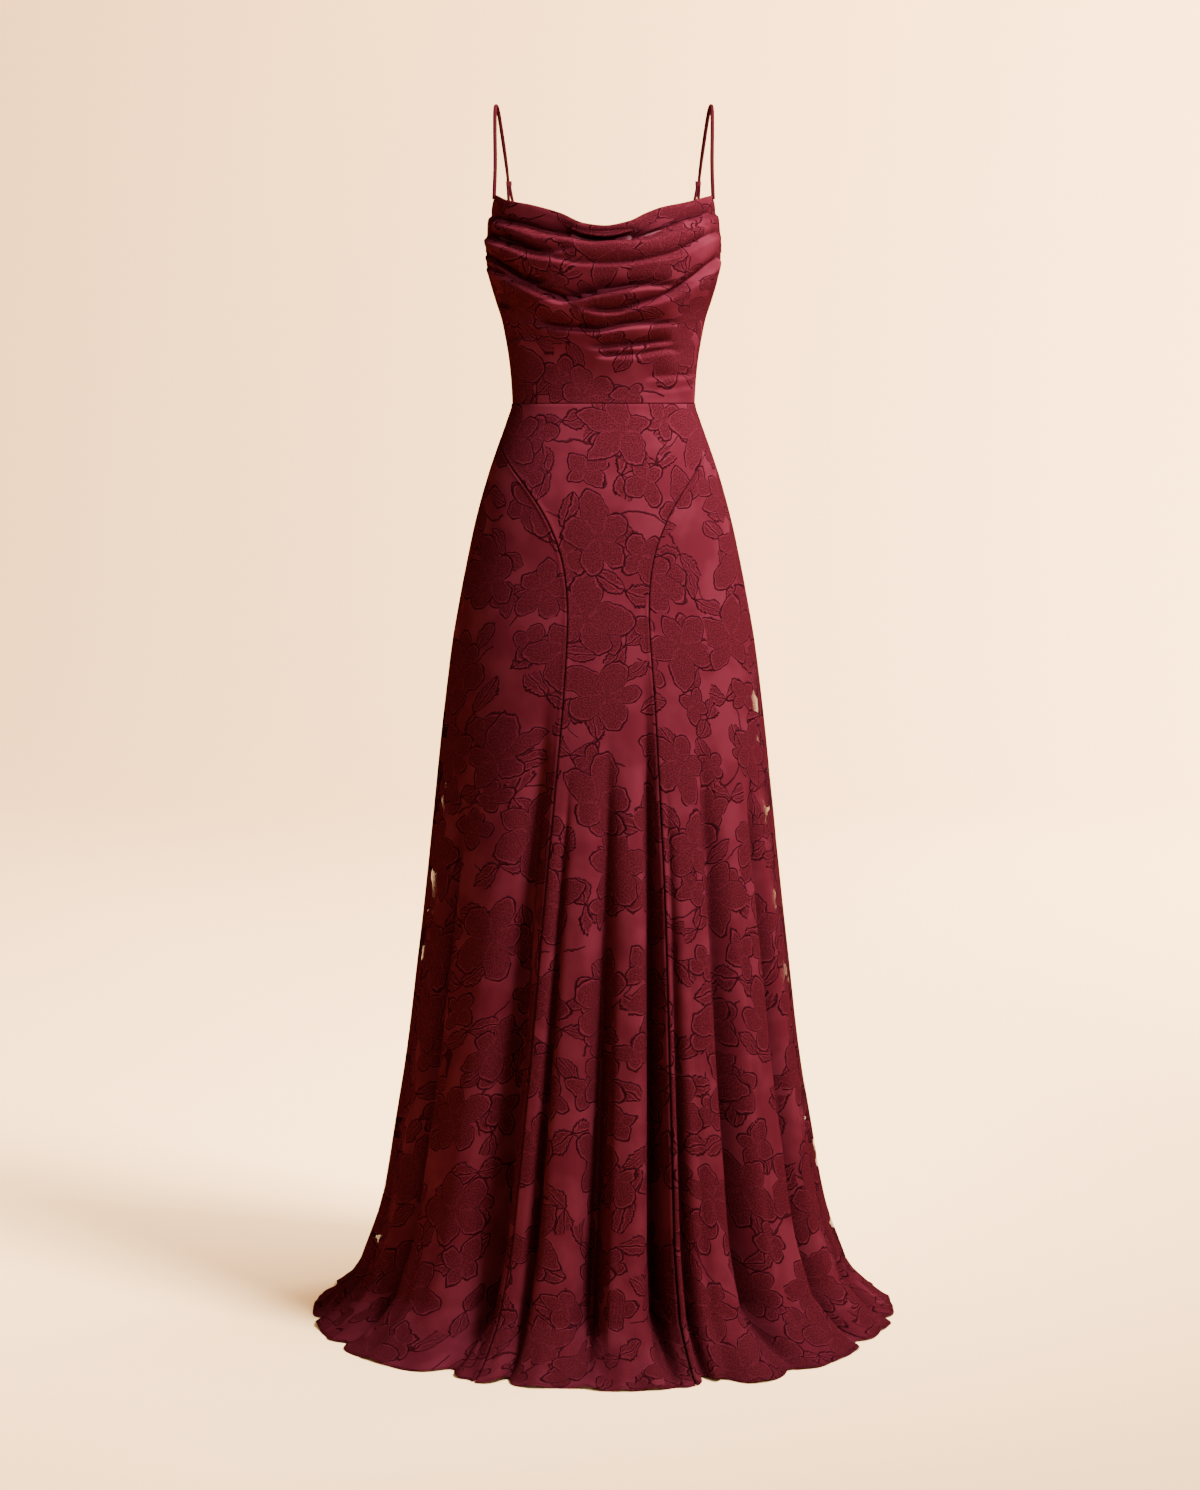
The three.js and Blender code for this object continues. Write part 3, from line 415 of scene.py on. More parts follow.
def top_edge(angle):
    """The height of the bodice's upper edge: the neckline's table, then S curves down the armholes and over a
    slightly scooped back."""
    turn = np.abs(angle)

    def neck(at):
        across = figure_radius(at, EDGE_HEIGHT) * np.sin(np.radians(at))
        return read(NECKLINE, "across", "height", across)

    corner = neck(np.sign(angle) * NECK_CORNER)
    armhole = np.clip((turn - NECK_CORNER) / (SIDE_SEAM - NECK_CORNER), 0, 1)
    behind = np.clip((turn - SIDE_SEAM) / (BACK_STRAP_ANGLE - SIDE_SEAM), 0, 1)
    middle = np.clip((turn - BACK_STRAP_ANGLE) / (CENTRE_BACK - BACK_STRAP_ANGLE), 0, 1)
    side = corner + (UNDERARM_HEIGHT - corner) * smooth(armhole**ARMHOLE_CURVE)
    back = UNDERARM_HEIGHT + (BACK_STRAP_HEIGHT - UNDERARM_HEIGHT) * smooth(behind)
    back = back + (BACK_CENTRE_HEIGHT - BACK_STRAP_HEIGHT) * smooth(middle)
    front = neck(np.clip(angle, -NECK_CORNER, NECK_CORNER))
    return np.where(turn <= NECK_CORNER, front, np.where(turn <= SIDE_SEAM, side, back))


def swag_relief(swag, across, height):
    """How far a swag stands out: a bell inwards above its crease, an S curve up to a ledge below it, then a
    wide bell, with a narrow groove along the crease."""
    left = across > swag["low_at"]
    reach = np.where(left, SWAG_REACH - swag["low_at"], SWAG_REACH + swag["low_at"])
    share = np.minimum(1, np.abs(across - swag["low_at"]) / reach)
    end = np.where(left, swag["left_end"], swag["right_end"])
    crease = swag["low"] + (end - swag["low"]) * share**SWAG_POWER
    fade = smooth((across - swag["from_x"]) / SWAG_FADE) * smooth((swag["to_x"] - across) / SWAG_FADE)
    end_depth = np.where(left, swag["left_depth"], swag["right_depth"])
    deep = (swag["depth"] + (end_depth - swag["depth"]) * smooth(share)) * fade
    below = crease - height
    groove = deep * SWAG_GROOVE * np.exp(-((below / SWAG_GROOVE_WIDTH) ** 2))
    tuck = -deep * SWAG_TUCK * np.exp(-((below / SWAG_TUCK_WIDTH) ** 2))
    ledge = deep * (-SWAG_TUCK + (1 + SWAG_TUCK) * smooth(below / SWAG_LEDGE))
    fall = deep * np.exp(-(((below - SWAG_LEDGE) / SWAG_FALL) ** 2))
    stands = np.where(below < 0, tuck, np.where(below < SWAG_LEDGE, ledge, fall))
    return SWAG_GAIN * (stands - groove)


def bodice_radius(angle, height):
    """Distance from the axis to the bodice: the figure's, plus the sum of the swags in front and the bell of
    the rolled lip, both settled at the waist and the sides."""
    top = top_edge(angle)
    radius = figure_radius(angle, height)
    turn = np.radians(angle)
    across = radius * np.sin(turn)
    facing = np.sqrt(np.clip(np.cos(turn), 0, None))
    wander = sum(high * np.sin(across / wide + height / tall) for high, wide, tall in WANDER)
    relief = sum(swag_relief(swag, across, height + wander) for swag in rows_of(SWAGS))
    lip = LIP_DEPTH * np.exp(-(((top - height) / LIP_HEIGHT) ** 2)) * np.cos(turn)
    settle = smooth((height - WAIST_HEIGHT) / WAIST_SETTLE) * smooth((SIDE_SEAM - np.abs(angle)) / SIDE_FADE)
    return radius + (relief * (SIDE_RELIEF + (1 - SIDE_RELIEF) * facing) + lip) * settle


def bodice_point(angle, drop):
    """A point of the bodice, from its upper edge at drop 0 to the waist at drop 1."""
    top = top_edge(angle)
    height = top + (WAIST_HEIGHT + SEAM_GAP / 2 - top) * drop
    return place(bodice_radius(angle, height), angle, height)


def lining_gap(angle, height):
    """The gap to the lining: one all round, plus one for the sides times a power of the sine."""
    side = np.abs(np.sin(np.radians(angle))) ** LINING_SIDE_POWER
    return read(LINING_GAPS, "height", "all", height) + read(LINING_GAPS, "height", "side", height) * side


def bodice_lining_point(angle, drop):
    """A point of the bodice's lining: the figure less the gap, and clear of the bodice's folds."""
    top = top_edge(angle) - LINING_BELOW_EDGE
    height = top + (WAIST_HEIGHT + SEAM_GAP / 2 - top) * drop
    hanging = figure_radius(angle, height) - lining_gap(angle, height)
    return place(np.minimum(hanging, bodice_radius(angle, height) - LINING_CLEAR), angle, height)


def skirt_lining_point(angle, drop):
    """A point of the skirt's lining: the skirt's own point, further in by the gap."""
    height = height_at(drop)
    return skirt_point(angle, drop, lining_gap(angle, height))


def lengths(points, axis):
    """Running length along one axis of a grid of points, starting from 0."""
    steps = np.linalg.norm(np.diff(points, axis=axis), axis=-1)
    start = np.zeros_like(np.take(steps, [0], axis))
    return np.concatenate([start, np.cumsum(steps, axis)], axis)


def even_steps(at, places, step, edge_steps=()):
    """Places whose running length `at` goes up in even steps, with closer ones at both ends."""
    total = at[-1]
    ends = [d for d in edge_steps if d < total / 3]
    first = ends[-1] if ends else 0.0
    count = max(2, int(round((total - 2 * first) / step)))
    inner = np.linspace(first, total - first, count + 1)
    wanted = np.concatenate([ends[:-1], inner, [total - d for d in reversed(ends[:-1])]])
    return np.interp(wanted, at, places)


def stand_off(points):
    """How far the cloth stands off the lining, 0 to 1: S curves at the sides, or one at the hem."""
    radius = np.maximum(np.linalg.norm(points[..., :2], axis=-1), 1)
    side = np.abs(points[..., 0]) / radius
    height = points[..., 2]
    beside = smooth((side - SHEER_SIDE) / SHEER_SIDE_FADE)
    beside = beside * smooth((SHEER_TOP - height) / SHEER_TOP_FADE)
    beside = beside * smooth((height - SHEER_BOTTOM) / SHEER_BOTTOM_FADE)
    return np.maximum(beside, HEM_SHEER * smooth((SWEEP_HEIGHT - height) / HEM_SHEER_FADE))


def linked(name, mesh, material):
    """Puts a smooth mesh with its material into the scene as an object."""
    mesh.polygons.foreach_set("use_smooth", np.ones(len(mesh.polygons), bool))
    mesh.materials.append(material)
    made = bpy.data.objects.new(name, mesh)
    bpy.context.scene.collection.objects.link(made)
    return made


def placed(points):
    """Points in metres below the shoulder, from millimetres above the floor."""
    return ((points.reshape(-1, 3) - (0, 0, SHOULDER_HEIGHT)) * METRE).tolist()


def grid_object(name, points, cloth, thickness, material, folded=False):
    """A sheet of quads over a grid of points, in rows from the top and columns towards the wearer's left. Its
    UV map is the flat cloth. Its attributes are the distances in mm to the nearest side seam and end, and how
    far it stands off the lining. folded says that its sides are turned in."""
    rows, columns = points.shape[:2]
    index = np.arange(rows * columns).reshape(rows, columns)
    quads = np.stack([index[:-1, :-1], index[1:, :-1], index[1:, 1:], index[:-1, 1:]], -1).reshape(-1, 4)
    mesh = bpy.data.meshes.new(name)
    mesh.from_pydata(placed(points), [], quads.tolist())
    layer = mesh.uv_layers.new(name="cloth")
    layer.data.foreach_set("uv", (cloth.reshape(-1, 2)[quads.reshape(-1)] * METRE).ravel())
    across = lengths(points, 1)
    down = lengths(points, 0)
    side = np.minimum(across, across[:, -1:] - across)
    end = np.minimum(down, down[-1:] - down)
    if folded:
        side = np.abs(side - TURNED_SEAM)
    for key, value in (("side_mm", side), ("end_mm", end), ("sheer", stand_off(points))):
        layer = mesh.attributes.new(key, "FLOAT", "POINT")
        layer.data.foreach_set("value", value.astype(np.float32).ravel())
    made = linked(name, mesh, material)
    shell = made.modifiers.new("thickness", "SOLIDIFY")
    shell.thickness = thickness * METRE
    shell.offset = 0
    return made


def flat_cloth(points, offset):
    """Each point's place in the flat cloth: how far across from the middle column, and how far down it."""
    middle = points.shape[1] // 2
    across = lengths(points, 1)
    down = lengths(points, 0)[:, middle]
    aside = across - across[:, middle : middle + 1]
    return np.stack([aside, np.broadcast_to(-down[:, None], across.shape)], -1) + offset


def declare(made, points, node):
    """Attaches the piece to the dress and hides the CAD node it stands in for. It also works out its rows'
    and columns' lengths and its cells' sides, but does nothing with them.
    """
    across = lengths(points, 1)[:, -1]
    down = lengths(points, 0)[-1]
    right = points[:-1, 1:] - points[:-1, :-1]
    below = points[1:, :-1] - points[:-1, :-1]
    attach(made, DRESS)
    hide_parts(node)


class Value:
    """A number that a shader works out. Arithmetic on it adds Math nodes to its tree."""

    def __init__(self, tree, socket):
        self.tree = tree
        self.socket = socket

    def calc(self, operation, *others):
        node = self.tree.nodes.new("ShaderNodeMath")
        node.operation = operation
        for slot, item in zip(node.inputs, (self, *others)):
            plug(self.tree, slot, item)
        return Value(self.tree, node.outputs[0])

    def __add__(self, other):
        return self.calc("ADD", other)

    def __sub__(self, other):
        return self.calc("SUBTRACT", other)

    def __mul__(self, other):
        return self.calc("MULTIPLY", other)

    def __truediv__(self, other):
        return self.calc("DIVIDE", other)

    def __pow__(self, other):
        return self.calc("POWER", other)

    def __neg__(self):
        return self * -1

    def __abs__(self):
        return self.calc("ABSOLUTE")

    def __radd__(self, other):
        return self + other

    def __rmul__(self, other):
        return self * other

    def __rsub__(self, other):
        return -self + other

    def above(self, low, high):
        """0 below low, 1 over high, and an S curve between; low may be the larger, which turns it round."""
        flip = low > high
        low, high = min(low, high), max(low, high)
        t = ((self - low) / (high - low)).larger(0.0).smaller(1.0)
        curve = t * t * (3 - 2 * t)
        return 1 - curve if flip else curve

    def larger(self, other):
        return self.calc("MAXIMUM", other)

    def smaller(self, other):
        return self.calc("MINIMUM", other)

    def towards(self, other, share):
        """This value where share is 0, the other where it is 1."""
        return self + (other - self) * share


def plug(tree, slot, item):
    """Links a value or a socket to a socket, or sets the socket to a constant."""
    if isinstance(item, Value):
        tree.links.new(item.socket, slot)
    elif hasattr(item, "is_output"):
        tree.links.new(item, slot)
    else:
        slot.default_value = item


def add_node(tree, kind, settings, inputs):
    node = tree.nodes.new(kind)
    for key, value in settings.items():
        setattr(node, key, value)
    for key, value in inputs.items():
        plug(tree, node.inputs[key], value)
    return node


def vector(tree, operation, *items):
    node = tree.nodes.new("ShaderNodeVectorMath")
    node.operation = operation
    for slot, item in zip(node.inputs, items):
        plug(tree, slot, item)
    return node.outputs[0]


def scaled(tree, item, factor):
    node = add_node(tree, "ShaderNodeVectorMath", {"operation": "SCALE"}, {0: item, "Scale": factor})
    return node.outputs[0]


def parts_of(tree, item):
    node = add_node(tree, "ShaderNodeSeparateXYZ", {}, {0: item})
    return [Value(tree, socket) for socket in node.outputs]


# The cloth's random patches: their size in mm, their finer layers, and how strong those are
NOISES = {
    "bend": (240.0, 1.0, 0.5),
    "ragged": (17.0, 2.0, 0.5),
    "bough": (150.0, 0.0, 0.5),
    "gate": (70.0, 0.0, 0.5),
    "grain": (1.7, 1.0, 0.6),
    "patch": (60.0, 2.0, 0.5),
}


def noise(tree, item, name):
    """A node of smooth random values and colours, mostly from 0.2 to 0.8."""
    size, detail, roughness = NOISES[name]
    return add_node(tree, "ShaderNodeTexNoise", {"noise_dimensions": "2D"},
                    {"Vector": item, "Scale": 1 / size, "Detail": detail, "Roughness": roughness})


def pushed(tree, item, cloth, name, reach):
    """Moves each point by a random offset, up to about a third of reach to each side."""
    offset = vector(tree, "SUBTRACT", noise(tree, cloth, name).outputs["Color"], (0.5, 0.5, 0.5))
    return vector(tree, "ADD", item, scaled(tree, offset, reach))


# Sockets of a Mix node that is set to colours
MIX_FIRST = 6
MIX_SECOND = 7
MIX_RESULT = 2


def mixed(tree, first, second, share):
    """The first colour where share is 0, the second where it is 1."""
    inputs = {"Factor": share, MIX_FIRST: first, MIX_SECOND: second}
    return add_node(tree, "ShaderNodeMix", {"data_type": "RGBA"}, inputs).outputs[MIX_RESULT]


def linear(red, green, blue):
    """A colour given in sRGB steps of 0 to 255, by the sRGB standard's own curve."""
    def one(step):
        c = step / 255
        return c / 12.92 if c <= 0.04045 else ((c + 0.055) / 1.055) ** 2.4

    return (one(red), one(green), one(blue), 1.0)


# The pattern, in mm: the cells that its motifs are scattered in, and their sizes
SMALL_BLOSSOMS = {"cell": 84.0, "offset": 5.7, "size": 29.0, "petals": 4, "randomness": 0.6}
LARGE_BLOSSOMS = {"cell": 112.0, "offset": 0.4, "size": 50.0, "petals": 5, "randomness": 0.5}
LEAVES = {"cell": 68.0, "offset": 3.3, "length": 38.0, "width": 12.5, "randomness": 0.6}
BEND_REACH = 62.0
RAGGED_REACH = 9.0
SLANT = 1.7

# A blossom's edge: the shape and depth of its petals, how far it has grown and how uneven it is
ROUND_PETAL = 0.75
POINTED_PETAL = 0.9
PETAL_DEPTH = 0.52
LEAST_GROWN = 0.8
GROWTH = 0.3
LOPSIDED = 0.16
LOBED = 0.1
LOPSIDED_TURN = 5
LOBED_TURN = 9
EDGE_SLOPE = 0.85

# A blossom's lines stop short of its edge and start at its heart
LINES_FROM = 0.4
LINES_SPREAD = 0.2
HEART = 0.12
LINE_STOP = 60

# A leaf leans and droops, and its edge has teeth
LEAN_LEAST = 0.15
LEAN_SPREAD = 0.5
DROOP = 0.004
LEAF_LEAST = 0.92
LEAF_SPREAD = 0.16
TEETH = 7
TOOTH = 0.16
TOOTH_LEAST = 0.9
LEAF_ROUNDNESS = 0.8
LEAF_TIP = 0.97
TIP_STOP = 200

# The corded line, in mm, and how much thinner it is along veins and petals and beyond an edge
MOTIF_LINE = 0.95
VEIN_THINNER = 0.4
PETAL_LINE_THINNER = 0.9
PETAL_LINE_SLOPE = 2.4
BEYOND_EDGE = 9
STEM_SLOPE = 190
STEM_GAPS = 90
STEM_UNDER = 0.5
# Where the painted highlight beside a cord lies and how wide it is, in cord widths
CORD_HIGHLIGHT_AT = 2.3
CORD_HIGHLIGHT_WIDTH = 0.3
CORD_FROM = 1.4
CORD_FULL = 0.5
PLUSH_EDGE = 0.4
COVER_EDGE = 0.1


def scatter(tree, cloth, cell, offset, randomness):
    """Scattered centres, one to a cell: the offset from the nearest in mm, and its random numbers."""
    moved = vector(tree, "ADD", scaled(tree, cloth, 1 / cell), (offset, offset * SLANT, 0))
    cells = add_node(tree, "ShaderNodeTexVoronoi", {"voronoi_dimensions": "2D"},
                     {"Vector": moved, "Scale": 1.0, "Randomness": randomness})
    away = scaled(tree, vector(tree, "SUBTRACT", moved, cells.outputs["Position"]), cell)
    x, y, _ = parts_of(tree, away)
    chance = add_node(tree, "ShaderNodeSeparateColor", {}, {0: cells.outputs["Color"]})
    return x, y, [Value(tree, socket) for socket in chance.outputs]


def blossom(tree, cloth, cell, offset, size, petals, randomness):
    """A blossom in each cell. Its edge rises from a notch to a petal's tip by a power of a sine or of a line.
    Returns how far inside the edge a point is, and how far from the lines between petals."""
    x, y, (turn, grow, shape) = scatter(tree, cloth, cell, offset, randomness)
    radius = (x * x + y * y).calc("SQRT")
    angle = y.calc("ARCTAN2", x) + turn * (2 * math.pi)
    share = (angle * (petals / (2 * math.pi))).calc("FRACT")
    tip = 1 - abs(share * 2 - 1)
    rounded = (tip * (math.pi / 2)).calc("SINE")
    petal = (rounded**ROUND_PETAL).towards(tip**POINTED_PETAL, shape)
    lopsided = (angle + shape * LOPSIDED_TURN).calc("SINE") * LOPSIDED
    lobed = (angle * 2 + grow * LOBED_TURN).calc("SINE") * LOBED
    grown = grow * GROWTH + LEAST_GROWN
    reach = (petal * PETAL_DEPTH + (1 - PETAL_DEPTH)) * grown * (lopsided + lobed + 1) * size
    inside = (reach - radius) * EDGE_SLOPE
    notch = share.smaller(1 - share)
    divide = radius * notch * (2 * math.pi / petals)
    divide = divide + (radius / size - LINES_FROM - shape * LINES_SPREAD).larger(0) * LINE_STOP
    return inside, divide + (HEART - radius / size).larger(0) * LINE_STOP


def leaf_pair(tree, cloth, cell, offset, length, width, randomness):
    """Two serrated leaves that lean out from a centre in each cell, a power of a sine wide along a parabola.
    Returns how far inside the edge a point is, and how far from the vein."""
    x, y, (turn, grow, bend) = scatter(tree, cloth, cell, offset, randomness)
    angle = turn * (2 * math.pi)
    cosine = angle.calc("COSINE")
    sine = angle.calc("SINE")
    along = abs(x * cosine + y * sine)
    across = y * cosine - x * sine
    lean = along * (bend * LEAN_SPREAD + LEAN_LEAST)
    off = abs(across - lean + along * along * DROOP)
    share = (along / (length * LEAF_LEAST + grow * length * LEAF_SPREAD)).smaller(1.0)
    teeth = (share * TEETH).calc("FRACT") * TOOTH + TOOTH_LEAST
    half = ((share * math.pi).calc("SINE").larger(0.0) ** LEAF_ROUNDNESS) * teeth * width
    inside = half - off - (along / length - LEAF_TIP).larger(0) * TIP_STOP
    return inside, off


def burnout(tree, cloth):
    """The cloth's pattern: plush blossoms and leaves with a corded edge on a sheer ground, joined by stems.
    Returns how much of a point is plush, how much is cord, and how much is the painted highlight beside a
    cord, a pale band that stands in for light caught by the raised cord."""
    at = pushed(tree, cloth, cloth, "bend", BEND_REACH)
    at = pushed(tree, at, cloth, "ragged", RAGGED_REACH)
    inside, vein = leaf_pair(tree, at, **LEAVES)
    edge = abs(inside).smaller(vein + VEIN_THINNER + (0 - inside).larger(0) * BEYOND_EDGE)
    for kind in (SMALL_BLOSSOMS, LARGE_BLOSSOMS):
        flower, lines = blossom(tree, at, **kind)
        inside = inside.larger(flower)
        line = lines * PETAL_LINE_SLOPE + (0 - flower).larger(0) * BEYOND_EDGE + PETAL_LINE_THINNER
        edge = edge.towards(abs(flower).smaller(line), flower.above(-MOTIF_LINE, -MOTIF_LINE + COVER_EDGE))
    bough = Value(tree, noise(tree, at, "bough").outputs["Fac"])
    gate = Value(tree, noise(tree, cloth, "gate").outputs["Fac"])
    stem = abs(bough - 0.5) * STEM_SLOPE + (0.5 - gate).larger(0) * STEM_GAPS + inside.larger(0) * STEM_UNDER
    edge = edge.smaller(stem)
    # Painted highlight: a pale band just beside the cord, standing in for light on its raised edge
    beside = abs(edge - MOTIF_LINE * CORD_HIGHLIGHT_AT).above(MOTIF_LINE, MOTIF_LINE * CORD_HIGHLIGHT_WIDTH)
    cord = edge.above(MOTIF_LINE * CORD_FROM, MOTIF_LINE * CORD_FULL)
    return inside.above(-PLUSH_EDGE, PLUSH_EDGE), cord, beside


def attribute(tree, name):
    """One of the mesh's own attributes."""
    node = add_node(tree, "ShaderNodeAttribute", {"attribute_name": name}, {})
    return Value(tree, node.outputs["Fac"])


GROUND = linear(51, 12, 20)
GROUND_LIGHT = linear(59, 17, 26)
PLUSH = linear(35, 6, 11)
PLUSH_LIGHT = linear(54, 14, 21)
# Colour of the painted shade along cords, seams and turned edges
PAINTED_SHADE = linear(12, 2, 4)
# Colour of the painted highlight beside a cord
CORD_PAINTED_HIGHLIGHT = linear(66, 20, 31)
SATIN = linear(56, 15, 25)
STRAP = linear(42, 9, 16)
ENAMEL = linear(52, 10, 18)
BACKDROP = linear(246, 203, 150)
SKY = linear(252, 228, 194)
GROUND_COVER = 0.3

# How much painted shade darkens a seam, a turned edge and a cord, and over how many mm the first two fade
SEAM_PAINTED_SHADE = 0.35
SEAM_FADE = (1.1, 0.4)
EDGE_PAINTED_SHADE = 0.45
EDGE_FADE = (1.2, 0.4)
CORD_PAINTED_SHADE = 0.7
# How strong the painted highlight beside a cord is
CORD_HIGHLIGHT_STRENGTH = 0.6
PATCH_SPAN = (0.35, 0.65)
GRAIN_SPAN = (0.36, 0.7)

# The nap: the ground's roughness and how much rougher the plush is, and the heights of plush, grain and cord
GROUND_ROUGHNESS = 0.6
PLUSH_ROUGHER = 0.2
PLUSH_HEIGHT = 0.35
GRAIN_HEIGHT = 0.9
NAP = 0.6
CORD_HEIGHT = 1.1
BUMP_DEPTH = 1.2


def new_material(name):
    material = bpy.data.materials.new(name)
    material.use_nodes = True
    return material, material.node_tree, material.node_tree.nodes["Principled BSDF"]


def plain_material(name, colour, **inputs):
    """One colour all over, with the shader's other inputs as given."""
    material, tree, shader = new_material(name)
    plug(tree, shader.inputs["Base Color"], colour)
    for key, value in inputs.items():
        plug(tree, shader.inputs[key.replace("_", " ")], value)
    return material


def cloth_material():
    """The burnout cloth: its pattern's colours, nap and holes, with painted shade along cords, seams and
    turned edges, and a painted highlight beside cords.
    """
    material, tree, shader = new_material("burnout_cloth")
    cloth = scaled(tree, add_node(tree, "ShaderNodeUVMap", {"uv_map": "cloth"}, {}).outputs[0], 1 / METRE)
    plush, cord, beside = burnout(tree, cloth)
    grain = Value(tree, noise(tree, cloth, "grain").outputs["Fac"])
    patch = Value(tree, noise(tree, cloth, "patch").outputs["Fac"])
    # Painted shade: darker lines where the cloth turns in at its side seams and at its turned ends
    seam = attribute(tree, "side_mm").above(*SEAM_FADE) * SEAM_PAINTED_SHADE
    hem = abs(attribute(tree, "end_mm") - TURNED_SEAM).above(*EDGE_FADE) * EDGE_PAINTED_SHADE
    ground = mixed(tree, GROUND, GROUND_LIGHT, patch.above(*PATCH_SPAN))
    motif = mixed(tree, PLUSH, PLUSH_LIGHT, grain.above(*GRAIN_SPAN))
    colour = mixed(tree, ground, motif, plush)
    # Painted highlight: a pale band beside each cord on the plush
    colour = mixed(tree, colour, CORD_PAINTED_HIGHLIGHT, beside * plush * CORD_HIGHLIGHT_STRENGTH)
    # Painted shade: the cord line, the seams and the turned edges darkened
    colour = mixed(tree, colour, PAINTED_SHADE, (cord * CORD_PAINTED_SHADE).larger(seam).larger(hem))
    backed = 1 - attribute(tree, "sheer")
    whole = plush.larger(cord).larger(seam).larger(backed)
    height = plush * (grain * GRAIN_HEIGHT + PLUSH_HEIGHT) * NAP + cord * CORD_HEIGHT
    relief = {"Strength": 1.0, "Distance": METRE * BUMP_DEPTH, "Height": height}
    bump = add_node(tree, "ShaderNodeBump", {}, relief)
    plug(tree, shader.inputs["Base Color"], colour)
    plug(tree, shader.inputs["Alpha"], (whole * (1 - GROUND_COVER) + GROUND_COVER).smaller(1.0))
    plug(tree, shader.inputs["Roughness"], plush * PLUSH_ROUGHER + GROUND_ROUGHNESS)
    plug(tree, shader.inputs["Normal"], bump.outputs[0])
    plug(tree, shader.inputs["IOR"], 1.0)
    return material


cloth_look = cloth_material()
satin_look = plain_material("satin_lining", SATIN, Roughness=0.42, IOR=1.1)
strap_look = plain_material("strap_cloth", STRAP, Roughness=0.6, IOR=1.0)
enamel_look = plain_material("enamelled_metal", ENAMEL, Roughness=0.35, IOR=1.2)

# Skirt panels, with a low welt along each seam
WELT_STEPS = (1.3, 2.6, 3.9, 5.4)
WELT_WIDTH = 4.2
WELT_HEIGHT = 0.9
WELT_FADE = 0.75
REFERENCE_DROP = 0.8
SWEEP_LENGTH = 92
SWEEP_FINER = 1.25
SKIRT_PATTERN_STEP = np.array([517.0, 131.0])


def unit(vectors):
    return vectors / np.maximum(np.linalg.norm(vectors, axis=-1, keepdims=True), TINY)


def towards_axis(points):
    """Unit vectors that point level from each point towards the figure's axis."""
    return unit(points * (-1, -1, 0))


def normals(points):
    """Unit normals of a grid, outwards: down crossed with across."""
    across = np.gradient(points, axis=1)
    down = np.gradient(points, axis=0)
    return unit(np.cross(down, across))


def with_turned_sides(points, out, flat):
    """Adds a column at both sides, where the cloth turns in at the seam and leans under its own panel."""
    def beside(first, second):
        inner = unit(points[:, second] - points[:, first])
        return (points[:, first] - (out[:, first] - inner * TURN_LEAN) * TURNED_SEAM)[:, None]

    wide = np.concatenate([beside(0, 1), points, beside(-1, -2)], 1)
    shift = np.array([TURNED_SEAM, 0.0])
    return wide, np.concatenate([flat[:, :1] - shift, flat, flat[:, -1:] + shift], 1)


def with_turned_top(points, flat):
    """Adds a row above the first one, where the cloth turns in towards the axis at the waist seam."""
    first = points[:1] + towards_axis(points[:1]) * TURNED_SEAM - (0, 0, TURN_LEAN * TURNED_SEAM)
    return np.concatenate([first, points]), np.concatenate([flat[:1] + (0, TURNED_SEAM), flat])


def panel_shares(panel, step, edge_steps=()):
    """Shares of a panel's width that lie in even steps along its cloth, near the hem."""
    fine = np.linspace(0, 1, FINE)
    height = height_at(REFERENCE_DROP)
    start, end = (float(a) for a in seam_angles(panel, height))
    line = skirt_point(start + (end - start) * fine, np.full(FINE, REFERENCE_DROP))
    return even_steps(lengths(line, 0), fine, step, edge_steps)


def skirt_drops(top, step, swept):
    """Even drops from a panel's top to the sweep, and where asked finer ones over the floor."""
    first = (WAIST_HEIGHT - top + SEAM_GAP / 2) / (WAIST_HEIGHT - SWEEP_HEIGHT)
    count = int((top - SWEEP_HEIGHT) / step)
    drops = np.linspace(first, 1, count + 1)
    if not swept:
        return drops
    lying = np.linspace(0, 1, int(SWEEP_LENGTH / step * SWEEP_FINER) + 1)
    return np.concatenate([drops, 1 + lying[1:]])


def skirt_grid(panel, shares, drops, point):
    """Points of a panel, half a seam gap clear of the seams at both sides."""
    drop = drops[:, None]
    height = height_at(np.minimum(drop, 1))
    start, end = seam_angles(panel, height)
    clear = np.degrees(SEAM_GAP / 2 / figure_radius(start, height))
    return point(start + clear + (end - start - 2 * clear) * shares[None, :], drop)


for number, panel in enumerate(PANELS):
    shares = panel_shares(panel, SKIRT_STEP, WELT_STEPS)
    drops = skirt_drops(PANELS[panel]["top"], SKIRT_STEP, True)
    points = skirt_grid(panel, shares, drops, skirt_point)
    flat = flat_cloth(points, SKIRT_PATTERN_STEP * number)
    across = lengths(points, 1)
    side = np.minimum(across, across[:, -1:] - across)
    welt = np.sin(np.pi * np.clip(side / WELT_WIDTH, 0, 1)) * WELT_HEIGHT
    welt = welt * (1 - WELT_FADE * smooth(drops))[:, None]
    out = normals(points)
    points = points + out * welt[..., None]
    points, flat = with_turned_sides(points, out, flat)
    points, flat = with_turned_top(points, flat)
    made = grid_object(f"cloth_{panel}", points, flat, CLOTH, cloth_look, folded=True)
    declare(made, points, panel)

LINING_PANELS = {
    "lining_skirt_front": ["skirt_front_side_right", "skirt_front_centre", "skirt_front_side_left"],
    "lining_skirt_back_left": ["skirt_back_side_left", "skirt_back_centre_left"],
    "lining_skirt_back_right": ["skirt_back_centre_right", "skirt_back_side_right"],
}


